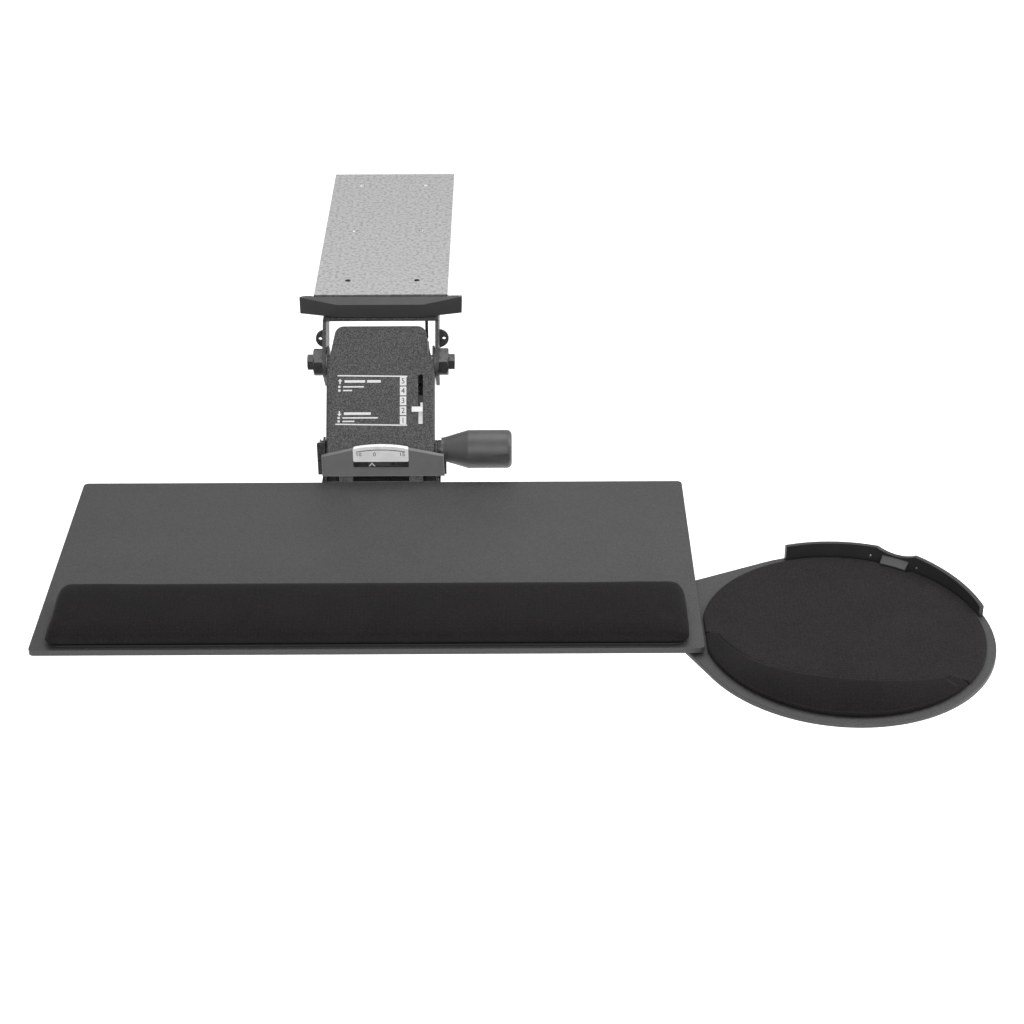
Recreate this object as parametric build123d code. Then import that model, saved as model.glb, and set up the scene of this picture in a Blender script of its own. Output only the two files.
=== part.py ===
from build123d import *
import math
import os

# Keyboard tray under a desk: a board for the keyboard on a height-adjustable, swivelling, tilting arm,
# with a round mouse platform at its right. Millimetres, +X right, +Y away from the user, +Z up.
# The origin is the middle of the track's top face, which is screwed to the underside of the desk.

# Clearances and general values
run_gap = 0.05           # radial clearance of a pin that turns in its hole
fit_gap = 0.1            # clearance of a piece that is bolted or clipped in place
side_gap = 0.5           # clearance between plates that move past each other
soft_gap = 0.3           # a soft piece from its neighbour
overrun = 5.0            # how far a cutting body reaches past the face that it cuts
edge_round = 0.8         # small moulded or rolled edge

# Desk track: a folded steel channel
track_length = 279.4
track_width = 115.0
track_depth = 13.0
track_steel = 2.0
track_lip = 14.0
track_hole_radius = 2.5
track_hole_span_x = 60.0
track_hole_span_y = 220.0

# Front cap of the track
cap_side = 12.0          # how far it stands out at each side of the track
cap_bow = 8.5            # how far the middle of its front stands ahead of its corners
cap_flat_width = 74.0    # straight stretch in the middle of its front
cap_front_setout = 12.5  # its front ahead of the track's front end
cap_corner_height = 15.1
cap_top_drop = 3.4       # how far its top slopes down to the front
cap_wing_length = 22.0   # hugs the track's sides
cap_wing_fall = 10.6     # how far the wings' top falls to their rear ends
cap_wing_front = 3.6     # where it starts to fall, ahead of the track's front end
cap_top_gap = 0.4
cap_round = 3.0
cap_wall = 2.5
cap_screw_radius = 1.6
cap_screw_height = 6.2   # above the cap's lower edge
cap_screw_setback = 8.5  # behind the track's front end
cap_screw_head_radius = 3.2
cap_screw_head_height = 1.8

# Stops in the track
stop_width = 34.0
stop_length = 7.0
stop_height = 7.5
rear_stop_inset = 6.0

# Carriage and its glides
carriage_length = 118.0
carriage_steel = 3.0
carriage_drop = 3.6      # free height for screw heads above the carriage
glide_width = 15.0
glide_gap = 0.3
glide_lip_wall = 2.2
glide_inset = 3.0        # glide ends short of the carriage's ends

# Swivel
swivel_setback = 40.0    # swivel axis behind the track's front end
swivel_disc_radius = 28.0
swivel_disc_gap = 3.0    # how far the disc reaches below the track
rivet_radius = 7.0
rivet_head_radius = 13.0
rivet_head_height = 3.5
washer_radius = 17.0
washer_thickness = 1.5

# Swivel bracket: a plate with two ears
bracket_steel = 3.0
bracket_front = 53.0     # front edge of its plate ahead of the swivel axis
bracket_back = 30.0
bracket_bend_round = 2.4
ear_depth = 38.0         # length of the ear's root along the plate
ear_bolt_round = 14.0
ear_pin_round = 9.0
lug_width = 8.0
lug_height = 17.0
lug_thickness = 2.5
lug_hole_radius = 1.6
lug_top_drop = 14.5      # top of the lug below the bracket's plate
lug_setback = 12.0
strap_x = 37.2           # a short strap inside the right ear
strap_width = 2.6
strap_length = 26.0
strap_setback = 19.0

# Arm pivots, in the side view
arm_length = 76.5        # from the upper pivot to the lower one
arm_slope = 51.2         # degrees below level at rest
pivot_ahead = 64.0       # upper pivot ahead of the swivel axis
pivot_drop = 33.4        # upper pivot below the bracket's plate
link_offset_y = 10.0     # the link's pivots behind and below the arm's pivots
link_offset_z = 18.0

# Arm: a folded steel channel
arm_width = 92.4
arm_steel = 2.0
arm_cover = 12.0         # the top plate's outer face from the pivot line
arm_skirt = 10.0         # how far the side walls reach past the pivot line
arm_upper_reach = 28.7   # top plate past the upper pivot
arm_lower_reach = 8.0    # top plate past the lower pivot
arm_wall_reach = 12.0    # side walls past both pivots
arm_end_width = 80.0     # narrow upper end
arm_flare_start = 18.8   # the plate widens from here, above the upper pivot
arm_flare_end = 12.0     # to here, below it
arm_end_round = 8.0
arm_bend_round = 2.0
arm_notch_width = 68.0   # notch at the lower end, for the tilt gauge's slider
arm_notch_reach = 4.0
slot_x = 34.3
slot_width = 4.2
slot_start = 13.4        # slot's ends along the arm, from the upper pivot
slot_end = 58.0

# Height pointer: a slider under the arm's face, with a T whose bar stands on the face
pointer_stem_width = 2.0
pointer_stem_above = 6.3
pointer_stem_below = 12.4
pointer_bar_width = 9.4
pointer_bar_length = 4.4
pointer_mark_rise = 0.5
pointer_bar_place = 44.0  # the bar's middle along the arm, at rest
pointer_side_gap = 0.2
pointer_plate_width = 13.0
pointer_plate_above = 12.5
pointer_plate_below = 14.9
pointer_plate_thickness = 1.4

# Upper pivot
sleeve_radius = 6.0
sleeve_nut_flats = 22.6
sleeve_nut_thickness = 8.2
bolt_radius = 4.0
bolt_head_flats = 13.0
bolt_head_thickness = 5.4
nut_chamfer = 1.2
spring_inner_radius = 6.6
spring_wire = 2.6
spring_start = 15.0      # from the middle line
spring_end = 42.0
pin_radius = 3.0

# Link
link_width = 78.0
link_round = 6.5
link_steel = 2.5
link_window_inset = 8.5   # open between its sides except this far from each pivot

# Head: the frame at the arm's lower end
cheek_steel = 1.8
cheek_round = 8.0
head_floor_drop = 28.0   # underside of its floor below the lower pivot
head_front = 12.0        # floor ahead of the lower pivot
head_back = 20.0
head_corner_round = 3.0
head_tab_width = 12.0
head_tab_x = 30.0
head_tab_height = 20.0
head_tab_screw_height = 16.0
head_flange_left = 53.3   # outer edge of the front flange on the left cheek
head_flange_ahead = 14.2  # its front ahead of the lower pivot
head_flange_steel = 1.5
head_flange_top = 14.1    # above the lower pivot
head_flange_bottom = 16.5
head_flange_round = 1.5
head_flange_right = 56.3

# Head cover, seen from the front
head_cover_ahead = 18.0  # front face ahead of the lower pivot
head_cover_depth = 3.4
head_cover_wall = 2.0
head_cover_bottom = 16.5  # below the lower pivot
head_cover_top = 9.8     # above the lower pivot
head_cover_rise = 2.5    # bow of the middle of its top
head_cover_shoulder = 3.3
head_cover_left = 49.7
head_cover_right = 54.2
head_cover_right_foot = 54.7
head_cover_flat_left = 22.6
head_cover_flat_right = 24.4
head_cover_round = 1.0
cover_screw_radius = 1.5
cover_boss_radius = 3.0

# Tilt gauge in the cover
gauge_left = -22.6
gauge_right = 24.4
gauge_bottom = -1.7      # above the lower pivot
gauge_lip = 0.8          # laps over the cover's top
gauge_thickness = 0.8
gauge_round = 1.5
window_height = 6.6
slider_left = -10.2
slider_right = 9.0
slider_height = 5.2
slider_thickness = 0.8
slider_gap = 0.8
arrow_x = -7.0
arrow_width = 5.6
arrow_height = 3.5
arrow_drop = 0.9         # its middle below the window's middle
arrow_stroke = 1.2
arrow_thickness = 0.5
tilt_nut_radius = 7.0
tilt_nut_length = 20.0
tilt_finger_width = 8.0
tilt_finger_thickness = 3.0

# Tilt knob and its shaft
shaft_radius = 5.0
shaft_flange_radius = 8.0
shaft_flange_thickness = 0.9
shaft_clip_radius = 9.0
shaft_clip_thickness = 1.2
shaft_groove_depth = 1.2
knob_length = 60.3
knob_neck_radius = 10.2
knob_radius = 16.4
knob_cone_length = 23.0
knob_neck_length = 2.0
knob_end_round = 4.5
knob_bore_depth = 36.0
knob_flute_count = 4     # shallow scoops for the fingers
knob_flute_radius = 20.0
knob_flute_depth = 1.1   # at the free end
knob_flute_length = 20.0
knob_pin_radius = 1.5
knob_pin_place = 12.0    # from the knob's root

# Tray
tray_width = 508.0
tray_depth = 254.0
tray_thickness = 5.0
tray_corner_round = 4.0
tray_shift = 2.2         # the board's middle to the right of the arm's middle
tray_drop = 19.0         # board's top below the lower pivot
tray_ahead = 23.0        # board's rear edge ahead of the lower pivot

# Bracket under the board
mount_steel = 1.8
mount_depth = 100.0
mount_ear_round = 8.0
mount_ear_foot_round = 8.0
mount_ear_foot_drop = 25.0
mount_ear_foot_back = 4.0  # its foot leans away from the board
mount_flange_drop = 15.0
mount_flange_round = 4.0
mount_screw_radius = 2.0
mount_screw_head_radius = 4.2
mount_screw_head_height = 2.2
mount_screw_bite = 3.2   # into the board
mount_screw_span_x = 76.0
mount_screw_span_y = 70.0
mount_screw_inset = 15.0
mount_screw_rows = 3

# Palm rest on the board
palm_left = -242.5       # from the board's middle
palm_right = 243.5
palm_front_inset = 2.0
palm_depth = 72.0
palm_height = 18.0
palm_front_height = 9.0
palm_base_thickness = 2.0
palm_crest_share = 0.74   # of the depth, from the front
palm_rear_drop = 2.5
palm_tuck = 1.5          # drawn-in sides
palm_corner_round = 12.0
palm_edge_round = 5.0

# Mouse platform
plate_center_x = 360.5   # from the board's middle
plate_center_y = -99.0
plate_rim = 8.5          # its edge past the mouse pad's
plate_thickness = 4.0
plate_drop = 7.0         # its top below the board's top
plate_boss_x = 228.0
plate_boss_y = -54.0
plate_boss_radius = 19.0
plate_edge_round = 0.8
post_radius = 5.0
post_head_flats = 17.0
post_head_height = 6.0
post_washer_radius = 13.0
insert_radius = 8.0
insert_depth = 3.8

# Mouse pad and its palm rest
pad_radius = 107.5
pad_center_x = 361.5
pad_center_y = -100.0
pad_thickness = 4.0
pad_left = 256.5
crescent_height = 15.0
crescent_crown_radius = 480.0  # its top falls towards both ends
crescent_crown_x = 355.0
crescent_end_length = 29.0     # and faster at the right one
crescent_end_height = 4.2
crescent_inner_radius = 119.0
crescent_inner_x = 375.0
crescent_inner_y = -57.5
crescent_left_y = -117.0
crescent_end_angle = -47.0
crescent_outer_fillet = 9.0
crescent_inner_fillet = 6.0

# Fence on the rim of the platform, with a dip for the cord of the mouse
fence_inset = 1.5        # from the platform's edge
fence_thickness = 3.4
fence_start_angle = 12.0
fence_end_angle = 106.0
fence_start_height = 9.6
fence_end_height = 13.0
dip_start_angle = 52.0
dip_low_angle = 58.5
dip_end_angle = 68.0
dip_start_height = 14.8
dip_low_height = 10.3
dip_end_height = 14.2
fence_screw_angles = (20.0, 45.0, 76.0, 100.0)
fence_screw_radius = 1.1
fence_screw_head_radius = 2.4
fence_screw_head_height = 1.4
fence_screw_bite = 6.0
fence_hole_angles = (50.6, 70.8)
fence_hole_radius = 1.2
fence_hole_height = 5.4

# Saddle: the ramp that leads the cord up to the dip
saddle_start_angle = 54.0
saddle_end_angle = 66.0
saddle_width = 6.6
saddle_low_height = 4.6
saddle_high_height = 8.4
saddle_round = 1.0

# Places that follow from the sizes above
track_front = -track_length / 2
track_inner = track_width / 2 - track_steel
cap_width = track_width + 2 * cap_side
swivel_y = track_front + swivel_setback
plate_top_z = -track_depth - swivel_disc_gap
plate_bottom_z = plate_top_z - bracket_steel
upper_y = swivel_y - pivot_ahead
upper_z = plate_bottom_z - pivot_drop
slope = math.radians(arm_slope)
lower_y = upper_y - arm_length * math.cos(slope)
lower_z = upper_z - arm_length * math.sin(slope)
arm_half = arm_width / 2
ear_inner = arm_half + side_gap
ear_outer = ear_inner + bracket_steel
cheek_outer = ear_inner + cheek_steel
mount_inner = cheek_outer + soft_gap
mount_outer = mount_inner + mount_steel
knob_root = mount_outer + shaft_flange_thickness + soft_gap
tray_top = lower_z - tray_drop
tray_bottom = tray_top - tray_thickness
tray_rear = lower_y - tray_ahead
tray_middle_y = tray_rear - tray_depth / 2
cover_front = lower_y - head_cover_ahead
cover_back = cover_front + head_cover_depth
platform_top = tray_top - plate_drop
platform_bottom = platform_top - plate_thickness
carriage_front = track_front + stop_length + glide_gap
carriage_top = -track_steel - carriage_drop
carriage_bottom = carriage_top - carriage_steel
cap_low = -cap_top_gap - cap_corner_height
cap_screw_y = track_front + cap_screw_setback
cap_screw_z = cap_low + cap_screw_height
cover_screw_z = lower_z - head_floor_drop + head_tab_screw_height
palm_front = tray_middle_y - tray_depth / 2 + palm_front_inset
palm_low = tray_top + palm_base_thickness
boss_x = tray_shift + plate_boss_x
boss_y = tray_middle_y + plate_boss_y
plate_x = tray_shift + plate_center_x
plate_y = tray_middle_y + plate_center_y
pad_x = tray_shift + pad_center_x
pad_y = tray_middle_y + pad_center_y
plate_radius = pad_radius + plate_rim
fence_radius = plate_radius - fence_inset
fence_screw_ring = fence_radius - fence_thickness / 2
fence_inner = fence_radius - fence_thickness
saddle_outer = fence_inner - fit_gap
saddle_inner = saddle_outer - saddle_width
saddle_gap_angle = math.degrees(soft_gap / saddle_inner)


def block(x_low, x_high, y_low, y_high, z_low, z_high):
    """A box between two corners."""
    size = (x_high - x_low, y_high - y_low, z_high - z_low)
    return Pos(x_low, y_low, z_low) * Box(*size, align=(Align.MIN, Align.MIN, Align.MIN))


def cross_rod(y, z, radius, x_low, x_high):
    """A round bar along X."""
    return side_shape(Pos(y, z) * Circle(radius), x_low, x_high)


def upright_rod(x, y, radius, z_low, z_high):
    """A round bar along Z."""
    foot = (Align.CENTER, Align.CENTER, Align.MIN)
    return Pos(x, y, z_low) * Cylinder(radius, z_high - z_low, align=foot)


def side_shape(outline, x_low, x_high):
    """An outline drawn in Y and Z, carried from one X to another."""
    return extrude(Plane.YZ.offset(x_low) * outline, x_high - x_low)


def flat_shape(outline, z_low, z_high):
    """An outline drawn in X and Y, carried from one height to another."""
    return extrude(Plane.XY.offset(z_low) * outline, z_high - z_low)


def front_shape(outline, y_front, y_back):
    """An outline drawn in X and Z, carried from a front Y to a back one."""
    view = Plane(origin=(0, y_back, 0), x_dir=(1, 0, 0), z_dir=(0, -1, 0))
    return extrude(view * outline, y_back - y_front)


def stretched(*discs):
    """The outline of a band stretched round discs, each given as (y, z, radius)."""
    edges = ShapeList()
    for first, second, radius in discs:
        edges += (Pos(first, second) * Circle(radius)).edges()
    return make_hull(edges)


def hexagon(y, z, flats, x_low, x_high, outward):
    """A hexagon bar along X, chamfered at its outward end (+1 right, -1 left)."""
    outline = Pos(y, z) * Rot(0, 0, 30) * RegularPolygon(flats / 2, 6, major_radius=False)
    bar = side_shape(outline, x_low, x_high)
    turned = cross_rod(y, z, flats / 2 + nut_chamfer, x_low, x_high)
    end = turned.edges().filter_by(GeomType.CIRCLE).sort_by(Axis.X)[-1 if outward > 0 else 0]
    return bar & chamfer(end, nut_chamfer)


def disc_bore(radius, z_low, z_high):
    """A cut along the swivel axis, past both faces."""
    return upright_rod(0, swivel_y, radius, z_low - overrun, z_high + overrun)


def cross_bore(y, z, radius):
    """A cut along X through the whole part."""
    return cross_rod(y, z, radius, -track_width, track_width)


def save(shape, node):
    """Writes one named piece, made of one or more separate solids."""
    solids = shape.solids()
    export_step(solids[0] if len(solids) == 1 else Compound(children=list(solids)), f"parts/{node}.step")
    print(node, len(solids), round(sum(s.volume for s in solids)))


def rounded(solid, edges, radius):
    """The solid with these edges rounded."""
    return solid.fillet(radius, edges)


# Places in the arm's own direction

arm_down = (0, -math.cos(slope), -math.sin(slope))
arm_view = Plane(origin=(0, upper_y, upper_z), x_dir=arm_down, z_dir=(1, 0, 0))
arm_face = Plane(origin=(0, upper_y, upper_z), x_dir=arm_down, z_dir=(0, -math.sin(slope), math.cos(slope)))
arm_face_side = 1 if arm_face.y_dir.X > 0 else -1  # which way the face's second direction points


def along_arm(outline, x_low, x_high):
    """An outline drawn along the arm and square to its face, carried from one X to another."""
    return extrude(arm_view.offset(x_low) * outline, x_high - x_low)


def through_arm(outline, low, high):
    """An outline drawn on the arm's face, carried from one depth to another, outward positive."""
    return extrude(arm_face.offset(low) * outline, high - low)


def span(first_low, first_high, second_low, second_high):
    """A rectangle between two corners."""
    return Pos(first_low, second_low) * Rectangle(
        first_high - first_low, second_high - second_low, align=(Align.MIN, Align.MIN))


# Desk track

def make_track():
    half = track_width / 2
    body = block(-half, half, track_front, -track_front, -track_depth, 0)
    hollow = block(-track_inner, track_inner, track_front - overrun, overrun - track_front,
                   track_steel - track_depth, -track_steel)
    mouth = half - track_lip
    body = body - hollow - block(-mouth, mouth, track_front - overrun, overrun - track_front,
                                 -track_depth - overrun, -track_steel)
    long_edges = body.edges().filter_by(Axis.Y)
    corners = long_edges.filter_by(lambda e: abs(abs(e.center().X) - half) < edge_round)
    body = rounded(body, corners, edge_round)
    for x_sign in (-1, 1):
        for y_share in (-1, 0, 1):
            x, y = x_sign * track_hole_span_x / 2, y_share * track_hole_span_y / 2
            body -= upright_rod(x, y, track_hole_radius, -track_steel - overrun, overrun)
    return body - cross_rod(cap_screw_y, cap_screw_z, cap_screw_radius + run_gap, -cap_width, cap_width)


def cap_outline(inset):
    """The cap's plan: bowed front, straight back."""
    half, flat = cap_width / 2 - inset, cap_flat_width / 2
    front = track_front - cap_front_setout + inset
    back = track_front + cap_wing_length
    corner = front + cap_bow
    corners = ((flat, front), (half, corner), (half, back), (-half, back), (-half, corner), (-flat, front))
    return make_face(Polyline(*corners, close=True))


def make_track_cap():
    low, high = cap_low, -cap_top_gap
    body = flat_shape(cap_outline(0), low, high)
    body = rounded(body, body.edges().filter_by(Axis.Z).group_by(Axis.Y)[0], cap_bow)
    front = track_front - cap_front_setout
    slope_cut = side_shape(make_face(Polyline(
        (front - overrun, high - cap_top_drop * (1 + overrun / cap_bow)),
        (front + cap_bow, high), (front + cap_bow, high + overrun), (front - overrun, high + overrun),
        close=True)), -cap_width, cap_width)
    body -= slope_cut
    fall_start, wing_end = track_front - cap_wing_front, track_front + cap_wing_length
    fall = make_face(Polyline(
        (fall_start, high), (wing_end, high - cap_wing_fall), (wing_end + overrun, high - cap_wing_fall),
        (wing_end + overrun, high + overrun), (fall_start, high + overrun), close=True))
    body -= side_shape(fall, -cap_width, cap_width)
    half = track_width / 2 + fit_gap
    body -= block(-half, half, track_front, track_front + cap_wing_length + overrun, low - overrun, overrun)
    inner = cap_width / 2 - cap_wall
    body -= block(half + cap_wall, inner, track_front, track_front + cap_wing_length - cap_wall,
                  low - overrun, high - cap_wall)
    body -= block(-inner, -half - cap_wall, track_front, track_front + cap_wing_length - cap_wall,
                  low - overrun, high - cap_wall)
    body -= flat_shape(cap_outline(cap_wall) & span(-cap_width, cap_width, front, track_front - cap_wall),
                       low - overrun, high - cap_top_drop - cap_wall)
    return body - cross_rod(cap_screw_y, cap_screw_z, cap_screw_radius + fit_gap, -cap_width, cap_width)


def make_cap_screws():
    """A screw through each wing of the cap and the track's side behind it."""
    seat = track_width / 2 + fit_gap + cap_wall
    screws = []
    for x_sign in (-1, 1):
        shank = cross_rod(cap_screw_y, cap_screw_z, cap_screw_radius, track_inner, seat)
        outside = seat + cap_screw_head_height
        head = cross_rod(cap_screw_y, cap_screw_z, cap_screw_head_radius, seat, outside)
        screw = shank + head
        screws.append(screw if x_sign > 0 else mirror(screw, Plane.YZ))
    return Compound(children=screws)


def make_stop(y_low):
    """A rubber block under the track's web."""
    body = block(-stop_width / 2, stop_width / 2, y_low, y_low + stop_length,
                 -track_steel - stop_height, -track_steel)
    return rounded(body, body.edges().filter_by(Axis.Z), edge_round)


# Carriage

def make_carriage():
    half = track_inner - glide_gap - glide_lip_wall
    back = carriage_front + carriage_length
    plate = block(-half, half, carriage_front, back, carriage_bottom, carriage_top)
    plate = rounded(plate, plate.edges().filter_by(Axis.Z), cap_round)
    return plate - disc_bore(rivet_radius + fit_gap, carriage_bottom, carriage_top)


def make_glide(x_sign):
    """A nylon channel on the carriage's edge."""
    outer = track_inner - glide_gap
    low, high = track_steel - track_depth + glide_gap, -track_steel - glide_gap
    y_low = carriage_front + glide_inset
    y_high = carriage_front + carriage_length - glide_inset
    body = block(outer - glide_width, outer, y_low, y_high, low, high)
    body -= block(outer - glide_width - overrun, outer - glide_lip_wall, y_low - overrun, y_high + overrun,
                  carriage_bottom, carriage_top)
    return body if x_sign > 0 else mirror(body, Plane.YZ)


def make_swivel_disc():
    disc = upright_rod(0, swivel_y, swivel_disc_radius, plate_top_z, carriage_bottom)
    return disc - disc_bore(rivet_radius + fit_gap, plate_top_z, carriage_bottom)


def make_rivet():
    low = plate_bottom_z - washer_thickness
    shank = upright_rod(0, swivel_y, rivet_radius, low, carriage_top)
    foot = upright_rod(0, swivel_y, rivet_head_radius, low - rivet_head_height, low)
    foot = rounded(foot, foot.edges().group_by(Axis.Z)[0], edge_round)
    head_top = carriage_top + carriage_drop / 2
    return shank + foot + upright_rod(0, swivel_y, rivet_head_radius, carriage_top, head_top)


def make_swivel_washer():
    low = plate_bottom_z - washer_thickness
    washer = upright_rod(0, swivel_y, washer_radius, low, plate_bottom_z)
    return washer - disc_bore(rivet_radius + run_gap, low, plate_bottom_z)


# Swivel bracket

def ear_outline():
    """The ear seen from the side: its root on the plate, then round the bolt and the link pin."""
    front = swivel_y - bracket_front
    root = stretched((front + edge_round, plate_bottom_z, edge_round),
                     (front + ear_depth, plate_bottom_z, edge_round),
                     (upper_y, upper_z, ear_bolt_round),
                     (upper_y + link_offset_y, upper_z - link_offset_z, ear_pin_round))
    above = span(front - pivot_ahead, front + track_length, plate_bottom_z, plate_bottom_z + overrun)
    return root - above


def make_swivel_bracket():
    front = swivel_y - bracket_front
    back = swivel_y + bracket_back
    plate = block(-ear_outer, ear_outer, front, swivel_y, plate_bottom_z, plate_top_z)
    tail = stretched((0, swivel_y, bracket_back),
                     (-ear_outer + ear_bolt_round, swivel_y - ear_bolt_round, ear_bolt_round),
                     (ear_outer - ear_bolt_round, swivel_y - ear_bolt_round, ear_bolt_round))
    body = plate + flat_shape(tail, plate_bottom_z, plate_top_z)
    for x_low in (-ear_outer, ear_inner):
        body += side_shape(ear_outline(), x_low, x_low + bracket_steel)
    outer_bends = body.edges().filter_by(Axis.Y).filter_by(
        lambda e: abs(abs(e.center().X) - ear_outer) < fit_gap and e.center().Z > plate_top_z - fit_gap)
    body = rounded(body, outer_bends, bracket_bend_round)
    body -= disc_bore(rivet_radius + run_gap, plate_bottom_z, plate_top_z)
    body -= cross_bore(upper_y, upper_z, sleeve_radius + fit_gap)
    body -= cross_bore(upper_y + link_offset_y, upper_z - link_offset_z, pin_radius + fit_gap)
    lug_y = front + lug_setback
    lug_high = plate_bottom_z - lug_top_drop
    for x_sign in (-1, 1):
        outline = stretched((ear_outer, lug_high - lug_width, lug_width),
                            (ear_outer, lug_high - lug_height + edge_round, edge_round))
        outline &= span(ear_inner + bracket_steel / 2, ear_outer + lug_width + overrun,
                        lug_high - lug_height, lug_high)
        lug = front_shape(outline, lug_y, lug_y + lug_thickness)
        hole = front_shape(Pos(ear_outer + lug_width / 2, lug_high - lug_width) * Circle(lug_hole_radius),
                           lug_y - overrun, lug_y + lug_thickness + overrun)
        lug -= hole
        body += lug if x_sign > 0 else mirror(lug, Plane.YZ)
    strap_y = front + strap_setback
    return body + block(strap_x, strap_x + strap_width, strap_y, strap_y + bracket_steel,
                        plate_bottom_z - strap_length, plate_bottom_z + bracket_steel / 2)


# Upper pivot

def make_sleeve():
    reach = ear_outer + sleeve_nut_thickness
    body = cross_rod(upper_y, upper_z, sleeve_radius, -reach, reach)
    return body - cross_rod(upper_y, upper_z, bolt_radius + fit_gap, -reach - overrun, reach + overrun)


def make_sleeve_nuts():
    nuts = []
    for x_sign in (-1, 1):
        low = ear_outer if x_sign > 0 else -ear_outer - sleeve_nut_thickness
        nut = hexagon(upper_y, upper_z, sleeve_nut_flats, low, low + sleeve_nut_thickness, x_sign)
        nuts.append(nut - cross_rod(upper_y, upper_z, sleeve_radius + run_gap, low - overrun,
                                    low + sleeve_nut_thickness + overrun))
    return Compound(children=nuts)


def make_pivot_bolt():
    reach = ear_outer + sleeve_nut_thickness
    head = hexagon(upper_y, upper_z, bolt_head_flats, -reach - bolt_head_thickness, -reach, -1)
    return head + cross_rod(upper_y, upper_z, bolt_radius, -reach, reach + bolt_head_thickness)


def make_pivot_nut():
    reach = ear_outer + sleeve_nut_thickness
    nut = hexagon(upper_y, upper_z, bolt_head_flats, reach, reach + bolt_head_thickness, 1)
    return nut - cross_rod(upper_y, upper_z, bolt_radius + run_gap, reach - overrun,
                           reach + bolt_head_thickness + overrun)


def make_friction_washers():
    """Thin nylon discs between the ears and the arm's side walls."""
    discs = []
    for low in (-ear_inner + fit_gap, arm_half + fit_gap):
        high = low + side_gap - 2 * fit_gap
        disc = cross_rod(upper_y, upper_z, arm_skirt, low, high)
        discs.append(disc - cross_bore(upper_y, upper_z, sleeve_radius + run_gap))
    return Compound(children=discs)


def make_spring(x_sign):
    """The space of one torsion spring's coil round the sleeve."""
    outer = spring_inner_radius + spring_wire
    body = cross_rod(upper_y, upper_z, outer, spring_start, spring_end)
    body -= cross_rod(upper_y, upper_z, spring_inner_radius, spring_start - overrun, spring_end + overrun)
    return body if x_sign > 0 else mirror(body, Plane.YZ)


def make_link_pin(end_y, end_z, reach):
    """A pin flush with the plates that hold it."""
    return cross_rod(end_y, end_z, pin_radius, -reach, reach)


# Arm

def make_arm():
    low, high = -arm_wall_reach, arm_length + arm_wall_reach
    wall_outline = span(low, high, -arm_cover, arm_skirt)
    wall_outline = fillet(wall_outline.vertices().group_by(Axis.Y)[-1], arm_skirt)
    walls = along_arm(wall_outline, -arm_half, -arm_half + arm_steel)
    walls += along_arm(wall_outline, arm_half - arm_steel, arm_half)
    half_end, half = arm_end_width / 2, arm_half
    face = make_face(Polyline(
        (-arm_upper_reach, half_end - arm_steel), (-arm_flare_start, half_end), (arm_flare_end, half),
        (arm_length + arm_lower_reach, half), (arm_length + arm_lower_reach, -half),
        (arm_flare_end, -half), (-arm_flare_start, -half_end), (-arm_upper_reach, arm_steel - half_end),
        close=True))
    face = fillet(face.vertices().group_by(Axis.X)[0], arm_end_round)
    plate = through_arm(face, arm_cover - arm_steel, arm_cover)
    top_trim = through_arm(span(low - overrun, arm_flare_end, -arm_half - overrun, arm_half + overrun),
                           arm_cover - arm_steel, arm_cover + overrun)
    below = span(arm_length + arm_lower_reach, high + overrun, -arm_cover - overrun, -arm_skirt / 2)
    lower_trim = along_arm(below, -arm_half - overrun, arm_half + overrun)
    body = (walls - top_trim - lower_trim) + plate
    bends = body.edges().filter_by(lambda e: e.length > arm_length / 2).filter_by(
        lambda e: abs(abs(e.center().X) - arm_half) < fit_gap
        and arm_face.to_local_coords(e.center()).Z > arm_cover - fit_gap)
    body = rounded(body, bends, arm_bend_round)
    notch = span(arm_length + arm_notch_reach, high + overrun, -arm_notch_width / 2, arm_notch_width / 2)
    body -= through_arm(notch, arm_cover - arm_steel - overrun, arm_cover + overrun)
    slot = Pos((slot_start + slot_end) / 2, slot_x * arm_face_side) * RectangleRounded(
        slot_end - slot_start, slot_width, arm_steel)
    body -= through_arm(slot, arm_cover - arm_steel - overrun, arm_cover + overrun)
    body -= cross_bore(upper_y, upper_z, sleeve_radius + run_gap)
    body -= cross_bore(lower_y, lower_z, shaft_radius + run_gap)
    return body


def make_pointer_slider():
    """The plate that slides under the arm's face."""
    side = slot_x * arm_face_side
    top = arm_cover - arm_steel - fit_gap - pointer_mark_rise
    plate = span(pointer_bar_place - pointer_plate_above, pointer_bar_place + pointer_plate_below,
                 side - pointer_plate_width / 2, side + pointer_plate_width / 2)
    return through_arm(plate, top - pointer_plate_thickness, top)


def make_pointer_mark():
    """A T: its stem shows in the slot, and its bar stands on the arm's face, towards the scale."""
    side, half = slot_x * arm_face_side, slot_width / 2 - pointer_side_gap
    edge = side + arm_face_side * half
    low = arm_cover - arm_steel - fit_gap - pointer_mark_rise
    wide = span(pointer_bar_place, pointer_bar_place + pointer_stem_below, side - half, side + half)
    thin = span(pointer_bar_place - pointer_stem_above, pointer_bar_place,
                *in_order(edge, pointer_stem_width))
    bar_low, bar_high = pointer_bar_place - pointer_bar_length / 2, pointer_bar_place + pointer_bar_length / 2
    bar_top = arm_cover + fit_gap + pointer_mark_rise
    neck = through_arm(span(bar_low, bar_high, side - half, side + half), low, bar_top)
    bar = through_arm(span(bar_low, bar_high, *in_order(edge, pointer_bar_width)), arm_cover + fit_gap, bar_top)
    return through_arm(wide + thin, low, low + pointer_mark_rise) + neck + bar


def in_order(edge, width):
    """A strip's two sides on the arm's face, from its outer edge towards the middle."""
    inner = edge - arm_face_side * width
    return min(edge, inner), max(edge, inner)


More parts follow.
